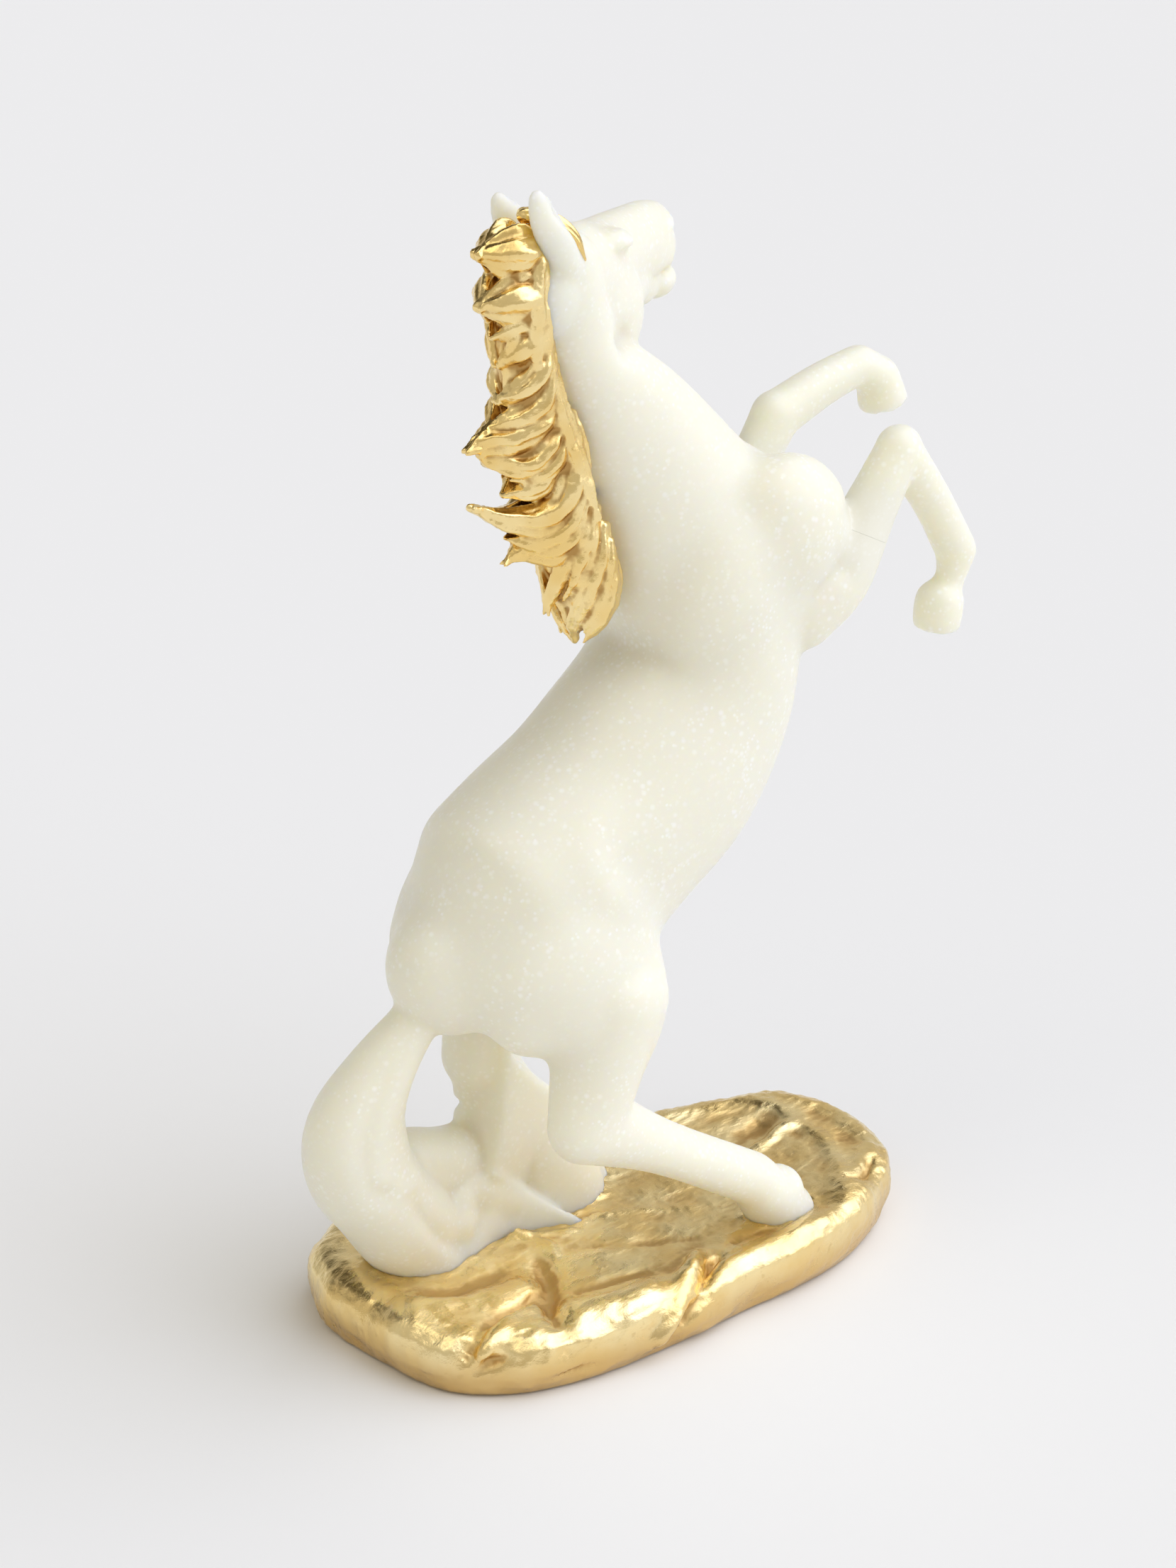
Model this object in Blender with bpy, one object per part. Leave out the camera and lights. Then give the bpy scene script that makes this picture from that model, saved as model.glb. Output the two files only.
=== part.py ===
"""Rearing horse statuette: a stone-resin horse with a gilded mane on a gilded rock base.

The horse faces +X, its left side is +Y and Z is up. The origin is the centre of the
resting face. Every length below is in millimetres and MM turns it into metres.
"""

import math

import bpy
import numpy as np
from mathutils import Vector, noise

MM = 0.001

# ---- Castings ----
TORSO_VOXEL = 1.5
CAST_VOXEL = 1.1
MANE_VOXEL = 0.8
SEAM_GAP = 0.3
BODY_TRIANGLES = 6400
FORELEG_TRIANGLES = 900
MANE_TRIANGLES = 3600
FORELOCK_TRIANGLES = 300
LOCK_TIP = 0.9
HEAD_TURN = 26
HEAD_DROP = 7
POLL = np.array([-22.0, 0.0, 248.0])
SHARP_EDGE = math.radians(40)

# ---- Hardware ----
ROD_RADIUS = 1.5
ROD_BORE_RADIUS = 1.8
DOWEL_RADIUS = 1.0
DOWEL_BORE_RADIUS = 1.3
COUNTERBORE_RADIUS = 4.6
COUNTERBORE_DEPTH = 5.0
WASHER_RADIUS = 4.0
WASHER_THICKNESS = 0.8
NUT_ACROSS_FLATS = 5.5
NUT_THICKNESS = 2.2
PAD_SHARE = 0.86

for leftover in list(bpy.data.objects):
    bpy.data.objects.remove(leftover)


# ---------------------------------------------------------------- shells


def spline(rows, per_span=4):
    """Smooth curve through the rows, with per_span steps between neighbours."""
    rows = np.array(rows, float)
    ends = np.vstack([2 * rows[0] - rows[1], rows, 2 * rows[-1] - rows[-2]])
    found = []
    for i in range(len(rows) - 1):
        a, b, c, d = ends[i : i + 4]
        for step in range(per_span):
            t = step / per_span
            bend = (2 * a - 5 * b + 4 * c - d) * t**2 + (3 * b - a - 3 * c + d) * t**3
            found.append(0.5 * (2 * b + (c - a) * t + bend))
    found.append(rows[-1])
    return np.array(found)


class Clay:
    """Closed shells that overlap, later fused into one skin."""

    def __init__(self):
        self.points = []
        self.faces = []

    def ring_stack(self, rings):
        """Closes a stack of equal rings with a fan at each end."""
        first = len(self.points)
        around = len(rings[0])
        for ring in rings:
            self.points.extend(ring)
        for level in range(len(rings) - 1):
            for k in range(around):
                a = first + level * around + k
                b = first + level * around + (k + 1) % around
                self.faces.append((a, b, b + around, a + around))
        top = first + (len(rings) - 1) * around
        self.faces.append(tuple(first + k for k in reversed(range(around))))
        self.faces.append(tuple(top + k for k in range(around)))

    def limb(self, rings, side=(0, 1, 0), per_span=4, around=20, flat_ends=False):
        """A tube through rings of x, y, z, half depth, half width; the width lies along side."""
        rows = spline(rings, per_span)
        centres = rows[:, :3]
        radii = np.maximum(rows[:, 3:5], 0.2)
        along = np.gradient(centres, axis=0)
        along /= np.linalg.norm(along, axis=1)[:, None]
        angles = np.arange(around) * 2 * math.pi / around
        stack = []

        def ring(i, share, shift):
            width = np.array(side, float)
            width = width - along[i] * (width @ along[i])
            width /= np.linalg.norm(width)
            depth = np.cross(width, along[i])
            centre = centres[i] + along[i] * shift
            return [
                centre
                + depth * (radii[i, 0] * share * math.cos(t))
                + width * (radii[i, 1] * share * math.sin(t))
                for t in angles
            ]

        domes = () if flat_ends else (80, 60, 40, 20)
        for dome in domes:
            t = math.radians(dome)
            stack.append(ring(0, math.cos(t), -radii[0].min() * math.sin(t)))
        for i in range(len(rows)):
            stack.append(ring(i, 1.0, 0.0))
        for dome in reversed(domes):
            t = math.radians(dome)
            stack.append(ring(-1, math.cos(t), radii[-1].min() * math.sin(t)))
        self.ring_stack(stack)

    def absorb(self, obj):
        first = len(self.points)
        self.points.extend(np.array(vertex.co) / MM for vertex in obj.data.vertices)
        for face in obj.data.polygons:
            self.faces.append(tuple(first + corner for corner in face.vertices))

    def ball(self, centre, radii, axes=None, around=20):
        """An ellipsoid whose radii lie along the rows of axes."""
        axes = np.eye(3) if axes is None else np.array(axes)
        rings = []
        for level in range(1, 12):
            polar = math.pi * level / 12
            rings.append(
                [
                    np.array(centre)
                    + axes[0] * (radii[0] * math.sin(polar) * math.cos(t))
                    + axes[1] * (radii[1] * math.sin(polar) * math.sin(t))
                    - axes[2] * (radii[2] * math.cos(polar))
                    for t in np.arange(around) * 2 * math.pi / around
                ]
            )
        self.ring_stack(rings)


def tilted(pitch, yaw=0.0):
    """Axes of a shape whose first axis points forward, up by pitch and left by yaw, in degrees."""
    p, w = math.radians(pitch), math.radians(yaw)
    forward = np.array([math.cos(p) * math.cos(w), math.cos(p) * math.sin(w), math.sin(p)])
    left = np.array([-math.sin(w), math.cos(w), 0.0])
    return np.array([forward, left, np.cross(forward, left)])


def mesh_object(name, points, faces):
    mesh = bpy.data.meshes.new(name)
    mesh.from_pydata([tuple(float(v) * MM for v in p) for p in points], [], faces)
    obj = bpy.data.objects.new(name, mesh)
    bpy.context.scene.collection.objects.link(obj)
    return obj


def settle(obj):
    """Replaces the mesh by the one its modifiers make."""
    graph = bpy.context.evaluated_depsgraph_get()
    made = bpy.data.meshes.new_from_object(obj.evaluated_get(graph))
    obj.modifiers.clear()
    obj.data = made
    return obj


def fused(name, clay, voxel, smoothing):
    """One skin round all the shells."""
    obj = mesh_object(name, clay.points, clay.faces)
    remesh = obj.modifiers.new("fuse", "REMESH")
    remesh.mode = "VOXEL"
    remesh.voxel_size = voxel * MM
    smooth = obj.modifiers.new("smooth", "SMOOTH")
    smooth.factor = 0.5
    smooth.iterations = smoothing
    return settle(obj)


def thin_out(obj, triangles):
    """Brings the mesh down to about this many triangles."""
    count = sum(len(face.vertices) - 2 for face in obj.data.polygons)
    decimate = obj.modifiers.new("thin", "DECIMATE")
    decimate.ratio = min(1.0, triangles / count)
    decimate.use_collapse_triangulate = True
    return settle(obj)


# ---------------------------------------------------------------- horse


def add_trunk(clay):
    clay.limb(
        [
            (-49, 0, 89, 17, 14.5),
            (-41, 0, 93.5, 23.5, 20.5),
            (-32.5, 0, 98.5, 30.5, 26.5),
            (-21, 0, 106.5, 29, 27),
            (-7.5, 0, 115, 27.6, 26.5),
            (5.5, 0, 125, 27.2, 25.5),
            (16.2, 0, 138.6, 24.4, 24.5),
            (21, 0, 152, 21.4, 23.4),
            (19.4, 0, 166, 23.6, 21.4),
            (13.4, 0, 180, 22.4, 17.2),
            (6.2, 0, 193, 18.8, 13.2),
            (-2, 0, 205, 15.8, 10.4),
            (-11, 0, 217.4, 11.4, 9.4),
            (-17.5, 0, 229.5, 10, 9),
            (-20, 0, 241, 10.5, 8.5),
        ],
        around=28,
    )


def add_shoulders(clay):
    for left in (-1, 1):
        clay.ball((32.6, 14.6 * left, 176.5), (16, 10.8, 18), tilted(20))
        clay.ball((29, 12.5 * left, 160), (12.4, 11.4, 13), tilted(60))
        clay.ball((18, 12.4 * left, 168), (22, 12.6, 16), tilted(70))


def add_haunches(clay):
    """The right haunch carries the horse; the left one is drawn further under it."""
    right = [
        (-34, -13, 99, 22.5, 14.5),
        (-28.5, -16.5, 90, 20.5, 13.5),
        (-24.5, -19.5, 80, 17.8, 12),
        (-26, -21, 69, 12, 9.5),
    ]
    left = [
        (-34, 13, 99, 21.5, 14.5),
        (-27, 17, 90, 17, 13.5),
        (-23, 19.5, 80, 13, 12),
        (-24, 20.5, 70, 10, 9.5),
    ]
    for rings in (right, left):
        clay.limb(rings)
        clay.ball((-43, rings[0][1] * 0.55, 95), (12, 12, 14))


HEAD_AXES = tilted(-HEAD_DROP, HEAD_TURN)


def on_head(along, left, up):
    """A place given along the face from the poll, to the horse's left and up."""
    return POLL + HEAD_AXES[0] * along + HEAD_AXES[1] * left + HEAD_AXES[2] * up


def add_head(clay):
    profile = [
        (0, -11.5, 11.0, 8.5),
        (8, -12.6, 13.2, 9.3),
        (16, -12, 13.2, 9.6),
        (24, -10.2, 11.0, 8.6),
        (32, -8.8, 9.8, 7.4),
        (40, -8.2, 9.4, 6.6),
        (47, -8.5, 9.9, 6.4),
        (53.5, -9.0, 9.8, 6.0),
    ]
    clay.limb(
        [(*on_head(along, 0, up), deep, wide) for along, up, deep, wide in profile],
        side=HEAD_AXES[1],
    )
    for left in (-1, 1):
        clay.ball(on_head(21, 5.4 * left, -18.8), (13, 5.8, 12), HEAD_AXES)
        clay.ball(on_head(20, 6.5 * left, -3.0), (5.0, 3.0, 2.8), HEAD_AXES)
        clay.ball(on_head(53, 3.6 * left, -5.5), (3.6, 3.0, 3.6), HEAD_AXES)
    clay.ball(on_head(55.6, 0, -16.4), (6.6, 5.6, 4.6), HEAD_AXES)
    clay.ball(on_head(46, 0, -17.0), (9.0, 5.0, 4.4), HEAD_AXES)
    clay.ball(on_head(53.5, 0, -9.5), (5.0, 5.6, 6.0), HEAD_AXES)


def add_ears(clay):
    tips = {-1: (-31.5, -7.2, 260), 1: (-29.5, 7.2, 256.5)}
    for left, tip in tips.items():
        root = np.array([-22.0, 6.4 * left, 243.0])
        rows = []
        for share, deep, wide in ((0.0, 3.4, 3.0), (0.35, 4.2, 2.6), (0.7, 3.8, 2.1), (0.94, 2.0, 1.3)):
            rows.append((*(root + (np.array(tip) - root) * share), deep, wide))
        clay.limb(rows)


def add_hind_leg(clay, stifle, gaskin, hock, cannon, fetlock, hoof):
    """Each joint is x, y, z, half depth, half width."""
    clay.limb([stifle, gaskin, hock])
    clay.ball(hock[:3], (hock[3], hock[4], hock[3]))
    clay.limb([hock, cannon, fetlock])
    clay.ball(fetlock[:3], (fetlock[3], fetlock[4], fetlock[3]))
    clay.limb([fetlock, hoof], per_span=3)


def add_left_boot(clay):
    """A square post of tail hair runs down the back of the left leg; the foot flares to a toe."""
    post = [
        (24, [(-40, 22), (-32, 10), (-3, 12), (-3, 27)]),
        (34, [(-35, 22), (-30.5, 8.5), (-6, 10), (-6, 27)]),
        (42, [(-32.4, 21), (-28.5, 8.8), (-10, 9.5), (-10, 27)]),
        (50, [(-32.2, 21), (-27.6, 9), (-18, 9), (-16, 27)]),
        (58, [(-31.2, 21), (-26.4, 9), (-25.5, 9), (-22, 26)]),
        (72, [(-30.4, 21), (-26, 11), (-22, 11), (-20, 26)]),
    ]
    clay.ring_stack([[np.array([x, y, z]) for x, y in corners] for z, corners in post])
    for height in (41, 47, 53, 60):
        clay.ball((-32.2, 20.5, height), (1.5, 1.8, 2.2))
    clay.limb([(-16, 18, 36, 8, 7), (-11, 15, 25, 11, 8), (-8, 16, 12, 13, 10)])
    clay.limb([(-9, 19, 16, 7.5, 8), (-1, 18, 13.5, 5, 6), (5, 16.5, 12.5, 3, 3)])


def add_foreleg(clay, shoulder, elbow, forearm, knee, cannon, fetlock, pastern, sole):
    """Each joint is x, y, z, half depth, half width."""
    clay.limb([shoulder, elbow, forearm, knee])
    clay.ball(knee[:3], (knee[3] + 0.4, knee[4], knee[3] + 0.4))
    clay.limb([knee, cannon, fetlock])
    clay.ball(fetlock[:3], (fetlock[3], fetlock[4], fetlock[3]))
    clay.limb([fetlock, pastern], per_span=3)
    clay.limb([pastern, sole], per_span=3, flat_ends=True)


def add_near_hoof(clay):
    """The hanging right fore hoof is a cup wider than the pastern above it."""
    clay.limb(
        [
            (77.6, -18, 153.6, 3.6, 3.6),
            (77.0, -18, 151.4, 5.4, 5.3),
            (76.2, -18, 147.5, 5.7, 5.6),
            (75.8, -18, 143.4, 5.2, 5.3),
        ],
        flat_ends=True,
    )


def add_tail(clay):
    clay.limb(
        [
            (-49.5, 0, 92, 5, 6),
            (-57, 1, 83, 5.4, 6.2),
            (-67, 3, 72, 8, 8.5),
            (-71.5, 6, 59, 11.6, 9.5),
            (-69, 9, 46, 12, 12),
            (-61, 12, 34, 11.6, 13),
            (-53, 14, 23, 12, 12),
            (-48, 14, 13, 10, 10.5),
        ]
    )
    clay.limb(
        [
            (-63, 11, 42, 7, 7),
            (-52, 15, 38, 8, 8),
            (-42, 17.5, 32.5, 9, 8),
            (-31, 20, 29, 9, 8),
        ]
    )


def add_splash(clay):
    """The tail runs forward along the rock as a thin fin that sinks to a small tip."""
    clay.limb(
        [
            (-46, 13, 19, 12, 9),
            (-39, 13, 18, 14, 8),
            (-32, 12, 17, 13, 5),
            (-25, 10, 14, 9.8, 3.4),
            (-18, 6.5, 12, 6.4, 2.4),
            (-12, 2.4, 11.4, 2.8, 1.5),
        ]
    )


def horse_clay():
    """The torso masses are melted together first, then the finer shapes join them."""
    soft = Clay()
    add_trunk(soft)
    add_shoulders(soft)
    add_haunches(soft)
    torso = fused("torso", soft, TORSO_VOXEL, 26)
    clay = Clay()
    clay.absorb(torso)
    bpy.data.objects.remove(torso)
    add_head(clay)
    add_ears(clay)
    add_hind_leg(
        clay,
        stifle=(-22.5, -21.5, 84.5, 14.6, 11.3),
        gaskin=(-27.8, -22, 67, 10.4, 9.4),
        hock=(-31, -23, 57, 9.5, 7.5),
        cannon=(-10, -23, 43.5, 6.3, 5.8),
        fetlock=(18, -23, 25, 6.2, 6.3),
        hoof=(28, -23, 12, 7.8, 7.6),
    )
    clay.ball((26, -23, 18.8), (6.4, 6.4, 6.2))
    add_hind_leg(
        clay,
        stifle=(-23, 20, 76, 12, 11),
        gaskin=(-25, 20, 66, 9.5, 9),
        hock=(-27.5, 20, 55, 8, 8),
        cannon=(-17, 20, 38, 8, 8),
        fetlock=(-4, 20, 22, 7, 7),
        hoof=(4, 19.5, 12, 5, 6.5),
    )
    add_left_boot(clay)
    add_foreleg(
        clay,
        shoulder=(34.4, -16, 158, 10.4, 8),
        elbow=(44, -18, 164, 8.5, 7.5),
        forearm=(53, -18, 176, 6.4, 6),
        knee=(62, -18, 189, 5.2, 5),
        cannon=(72.6, -18, 175, 4.7, 4.4),
        fetlock=(81.2, -18, 161, 4.8, 4.6),
        pastern=(80, -18, 155, 3.4, 3.4),
        sole=(77.4, -18, 151.5, 3.6, 3.6),
    )
    add_foreleg(
        clay,
        shoulder=(34, 16, 156, 12, 9),
        elbow=(45, 18, 166, 8, 7),
        forearm=(51.6, 18, 177.4, 5.9, 5.4),
        knee=(58.5, 18, 188, 5.8, 5.4),
        cannon=(72, 18, 192.4, 5.2, 4.8),
        fetlock=(84, 18, 195, 4.6, 4.6),
        pastern=(90.6, 18, 190.4, 5.2, 5.0),
        sole=(92.4, 18, 184, 6.0, 6.0),
    )
    add_near_hoof(clay)
    add_tail(clay)
    add_splash(clay)
    return clay


# ---------------------------------------------------------------- mane

# Each ring of the ridge: x, y, z, half depth, half width.
MANE_CREST = [
    (-26.5, -0.8, 246, 6.5, 5.2),
    (-28.5, -0.8, 239, 6.6, 5.2),
    (-29, -0.8, 229, 6.6, 5.0),
    (-27, -0.8, 215, 7.2, 5.0),
    (-23.5, -0.8, 201, 7.2, 5.0),
    (-19, -1.0, 188, 7.2, 5.2),
    (-15.5, -1.4, 175, 6.6, 5.4),
    (-13.5, -1.6, 166, 5.4, 5.2),
]

# Each lock: half thickness and its path from the neck to the tip.
MANE_LOCKS = [
    (5.0, [(-27.5, -3.5, 246), (-33.5, -3.5, 247), (-41, 0, 247.6)]),
    (2.2, [(-29, -5, 243), (-33, -4.5, 242), (-36, -1, 242.5)]),
    (5.2, [(-27.5, -4, 238), (-34, -4.2, 237.4), (-40.6, 0, 236.2)]),
    (2.4, [(-28.5, -5.5, 232.5), (-33, -5, 232), (-37.5, -1, 229.5)]),
    (3.6, [(-28, -5, 231), (-32, -5, 227.5), (-36, -1.5, 223.5)]),
    (3.0, [(-27, -6, 228), (-29, -6.3, 222), (-33, -4.5, 218), (-36.5, 0, 216)]),
    (3.4, [(-26.5, -6, 223), (-28, -6.3, 216), (-33, -4.5, 212.5), (-39.5, 0, 210.5)]),
    (3.0, [(-25.5, -5.6, 216), (-28.5, -6, 211), (-34.5, -4, 208.6), (-40, -1, 208), (-44.5, 0, 207)]),
    (2.4, [(-24, -6.4, 211), (-27, -6.6, 205.5), (-32, -5, 202.5), (-37, -2, 203.5), (-41, 0, 205.5)]),
    (2.6, [(-24, -5.5, 204), (-28.5, -5, 197.5), (-35, -1, 195.5)]),
    (3.6, [(-22, -6, 211), (-20.5, -6.6, 202), (-22, -6.5, 194), (-27, -4.6, 189.6), (-34, -2, 190.4), (-43, 0, 194.8)]),
    (2.6, [(-19.5, -6.6, 202), (-19, -7, 195), (-21.5, -6.5, 187.5), (-27, -4.5, 184.6), (-34, -1.5, 186)]),
    (2.6, [(-18, -6.5, 196), (-19, -6.8, 188), (-24, -5, 182), (-30, -2, 182.5), (-35, 0, 180.5)]),
    (2.7, [(-17.5, -6.5, 193), (-18.5, -6.8, 186), (-20.4, -4.6, 179), (-21.8, -2, 172), (-23.4, 0, 166.4)]),
    (2.6, [(-15.5, -6.8, 190), (-16.6, -7.3, 182), (-18.2, -5.6, 174), (-19.4, -1, 166.4)]),
    (2.8, [(-13.8, -7.5, 186), (-14.8, -8, 179), (-16.4, -6.6, 171.5), (-17.0, -3, 164), (-15.6, -1, 158.5)]),
    (2.6, [(-12.2, -7.6, 180), (-12.2, -8.4, 172.5), (-13.8, -7.4, 165.5), (-16.4, -4.5, 159.5)]),
]


def add_lock(clay, thick, path, left):
    """One lock on one side, thickest in the middle and drawn out to a blunt tip."""
    rows = []
    for number, (x, y, z) in enumerate(path):
        share = number / (len(path) - 1)
        swell = thick * (0.7 + 0.4 * math.sin(math.pi * share) - 0.5 * share**3)
        rows.append((x, y if left < 0 else -y - 1.5, z, max(swell, LOCK_TIP), max(swell * 0.66, LOCK_TIP)))
    clay.limb(rows)


def add_mane(clay):
    """A ridge along the crest with tapering locks blown back from both its sides."""
    clay.limb(MANE_CREST)
    for thick, path in MANE_LOCKS:
        for left in (-1, 1):
            add_lock(clay, thick, path, left)


def add_forelock(clay):
    """The tuft that starts between the ears and falls down the forehead."""
    clay.limb(
        [
            (-28.0, 0, 253.2, 1.7, 1.9),
            (-25.5, -1, 252.6, 1.9, 2.2),
            (-22.0, -3, 250.6, 1.9, 2.2),
            (-19.6, -5, 247.6, 1.6, 2.0),
            (-18.2, -6.4, 243.6, 1.0, 1.2),
        ]
    )


# ---------------------------------------------------------------- base

OUTLINE = [
    (-70, -1),
    (-66.5, -18),
    (-53.5, -29.5),
    (-32, -35),
    (0, -35.5),
    (34, -34.5),
    (55, -26),
    (67, -14),
    (70.5, 3),
    (65, 17.5),
    (47, 26),
    (20, 30.5),
    (-15, 38),
    (-45, 39),
    (-62, 34),
    (-71, 18),
]
BASE_UNDERSIDE = 0.5
# Share of the outline, outward bulge and height of each ring, from the underside to the middle of the top.
BASE_PROFILE = [
    (1.00, 0.0, 0.5),
    (1.00, 1.6, 3.0),
    (1.00, 2.6, 6.0),
    (1.00, 2.6, 9.0),
    (1.00, 1.8, 12.0),
    (1.00, -1.0, 14.1),
    (1.00, -5.0, 14.8),
    (0.85, -4.0, 14.0),
    (0.70, -3.0, 13.4),
    (0.55, -2.0, 13.2),
    (0.38, -1.0, 13.2),
    (0.20, 0.0, 13.2),
    (0.08, 0.0, 13.2),
]
BASE_AROUND = 80
ROCK_COARSE = 2.0
ROCK_FINE = 0.5


def outline_at(steps):
    """The base outline at equal steps round it, as points in plan."""
    closed = OUTLINE[-2:] + OUTLINE + OUTLINE[:2]
    rows = spline(closed, 12)[24 : 24 + 12 * len(OUTLINE) + 1]
    travelled = np.concatenate([[0], np.cumsum(np.linalg.norm(np.diff(rows, axis=0), axis=1))])
    wanted = np.arange(steps) / steps * travelled[-1]
    return np.stack([np.interp(wanted, travelled, rows[:, k]) for k in range(2)], axis=1)


def rock_base():
    plan = outline_at(BASE_AROUND)
    outward = plan / np.linalg.norm(plan, axis=1)[:, None]
    clay = Clay()
    rings = []
    for share, bulge, height in BASE_PROFILE:
        ring = []
        for spot, out in zip(plan, outward):
            x, y = spot * share + out * bulge
            place = Vector((x, y, height))
            rough = 0.0 if height <= BASE_UNDERSIDE else 1.0
            coarse = noise.noise(place / 17.0) * ROCK_COARSE * rough
            fine = noise.noise(place / 6.0 + Vector((7, 3, 1))) * ROCK_FINE * rough
            lift = (coarse + fine) * (0.4 if share < 1 else 0.8)
            x += out[0] * (coarse + fine) * share
            y += out[1] * (coarse + fine) * share
            ring.append(np.array([x, y, height + (lift if height > 10 else 0.0)]))
        rings.append(ring)
    clay.ring_stack(rings)
    return mesh_object("rock_base", clay.points, clay.faces)


# ---------------------------------------------------------------- hardware


def rod(name, start, end, radius, sides=24):
    start, end = np.array(start, float), np.array(end, float)
    along = (end - start) / np.linalg.norm(end - start)
    across = np.cross(along, (0, 0, 1) if abs(along[2]) < 0.9 else (1, 0, 0))
    across /= np.linalg.norm(across)
    other = np.cross(along, across)
    clay = Clay()
    angles = np.arange(sides) * 2 * math.pi / sides
    clay.ring_stack(
        [
            [spot + (across * math.cos(t) + other * math.sin(t)) * radius for t in angles]
            for spot in (start, end)
        ]
    )
    return mesh_object(name, clay.points, clay.faces)


def ring_plate(name, centre, low, high, outer, hole, outer_sides, sides=24):
    """A flat ring from low to high; six outer sides make it a hex nut."""
    plate = rod(name, (*centre, low), (*centre, high), outer, outer_sides)
    bore = rod("bore", (*centre, low - 1), (*centre, high + 1), hole, sides)
    return cut(plate, bore)


def block(name, low, high):
    corners = [
        np.array([x, y, z], float)
        for z in (low[2], high[2])
        for x, y in ((low[0], low[1]), (high[0], low[1]), (high[0], high[1]), (low[0], high[1]))
    ]
    clay = Clay()
    clay.ring_stack([corners[:4], corners[4:]])
    return mesh_object(name, clay.points, clay.faces)


def joined(obj, operation, cutters, keep_cutters=False):
    for cutter in cutters:
        step = obj.modifiers.new(cutter.name, "BOOLEAN")
        step.object = cutter
        step.operation = operation
        step.solver = "EXACT"
        settle(obj)
    if not keep_cutters:
        for cutter in cutters:
            bpy.data.objects.remove(cutter)
    return obj


def cut(obj, *cutters):
    return joined(obj, "DIFFERENCE", cutters)


def copy_of(obj, name):
    twin = obj.copy()
    twin.data = obj.data.copy()
    twin.name = name
    bpy.context.scene.collection.objects.link(twin)
    return twin


def swollen(obj, name, by):
    """A copy of the object pushed out by this much, for cutting a clearance."""
    twin = copy_of(obj, name)
    push = twin.modifiers.new("push", "DISPLACE")
    push.strength = by * MM
    push.mid_level = 0.0
    return settle(twin)


# ---------------------------------------------------------------- assembly

SOCKET_FLOOR = 9.0
FIXINGS = {"right_hind": (25, -23), "left_hind": (0, 20), "tail": (-47, 14)}
ROD_TOP = 19.0
PAD_BOTTOM = 0.0
PAD_TOP = 1.5
RECESS_CEILING = 1.8
# Where each foreleg is pinned on: a spot on the seam, the way the forearm runs, and the
# forward distance past which everything belongs to the foreleg.
FORELEG_SEAMS = {
    "right_foreleg": ((51, -18, 172), (0.47, 0.0, 0.88), 64),
    "left_foreleg": ((51, 18, 174), (0.5, 0.0, 0.87), 70),
}
DOWEL_REACH = 8.0
DOWEL_PLAY = 0.4
MANE_DOWELS = {"upper": ((-34, -1, 236), (-19, -1, 236)), "lower": ((-25, -2, 192), (-8, -2, 192))}


def seam_box(name, spot, along, gap):
    """A box that starts at the seam and runs past the knee."""
    side = np.array([0.0, 1.0, 0.0])
    across = np.cross(side, along)
    corners = []
    for reach in (gap, 80.0):
        for u, v in ((-7, -12), (60, -12), (60, 12), (-7, 12)):
            corners.append(spot + along * reach + across * u + side * v)
    clay = Clay()
    clay.ring_stack([corners[:4], corners[4:]])
    return mesh_object(name, clay.points, clay.faces)


def beyond_seam(spot, along, front, gap):
    """Everything that belongs to one foreleg."""
    box = seam_box("beyond", spot, along, gap)
    reach = 14 if spot[1] > 0 else -14
    low, high = sorted((spot[1] - reach, spot[1] + reach))
    forward = block("forward", (front, low, 120), (130, high, 230))
    return joined(box, "UNION", [forward])


horse = fused("body_casting", horse_clay(), CAST_VOXEL, 6)
thin_out(horse, BODY_TRIANGLES + 2 * FORELEG_TRIANGLES)
cut(horse, block("below", (-100, -60, -20), (100, 60, SOCKET_FLOOR)))

nodes = {"body_casting": horse}
for name, (spot, along, front) in FORELEG_SEAMS.items():
    spot, along = np.array(spot, float), np.array(along) / np.linalg.norm(along)
    leg = copy_of(horse, name)
    joined(leg, "INTERSECT", [beyond_seam(spot, along, front, SEAM_GAP / 2)])
    cut(horse, beyond_seam(spot, along, front, -SEAM_GAP / 2))
    dowel_ends = spot - along * DOWEL_REACH, spot + along * DOWEL_REACH
    bore_ends = spot - along * (DOWEL_REACH + DOWEL_PLAY), spot + along * (DOWEL_REACH + DOWEL_PLAY)
    for piece in (leg, horse):
        cut(piece, rod("bore", *bore_ends, DOWEL_BORE_RADIUS))
    nodes[name] = leg
    nodes[name + "_dowel"] = rod(name + "_dowel", *dowel_ends, DOWEL_RADIUS)

clearance = swollen(horse, "clearance", SEAM_GAP)

mane_clay = Clay()
add_mane(mane_clay)
mane = fused("mane", mane_clay, MANE_VOXEL, 2)
thin_out(mane, MANE_TRIANGLES)
joined(mane, "DIFFERENCE", [clearance], keep_cutters=True)
nodes["mane"] = mane

forelock_clay = Clay()
add_forelock(forelock_clay)
forelock = fused("forelock", forelock_clay, MANE_VOXEL, 2)
thin_out(forelock, FORELOCK_TRIANGLES)
joined(forelock, "DIFFERENCE", [clearance], keep_cutters=True)
cut(forelock, swollen(mane, "mane_clearance", SEAM_GAP))
nodes["forelock"] = forelock

for place, (start, end) in MANE_DOWELS.items():
    start, end = np.array(start, float), np.array(end, float)
    play = (end - start) / np.linalg.norm(end - start) * DOWEL_PLAY
    for piece in (mane, horse):
        cut(piece, rod("bore", start - play, end + play, DOWEL_BORE_RADIUS))
    nodes[f"mane_{place}_dowel"] = rod(f"mane_{place}_dowel", start, end, DOWEL_RADIUS)

base = rock_base()
joined(base, "DIFFERENCE", [clearance])
pad_plan = outline_at(BASE_AROUND // 2) * PAD_SHARE


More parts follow.
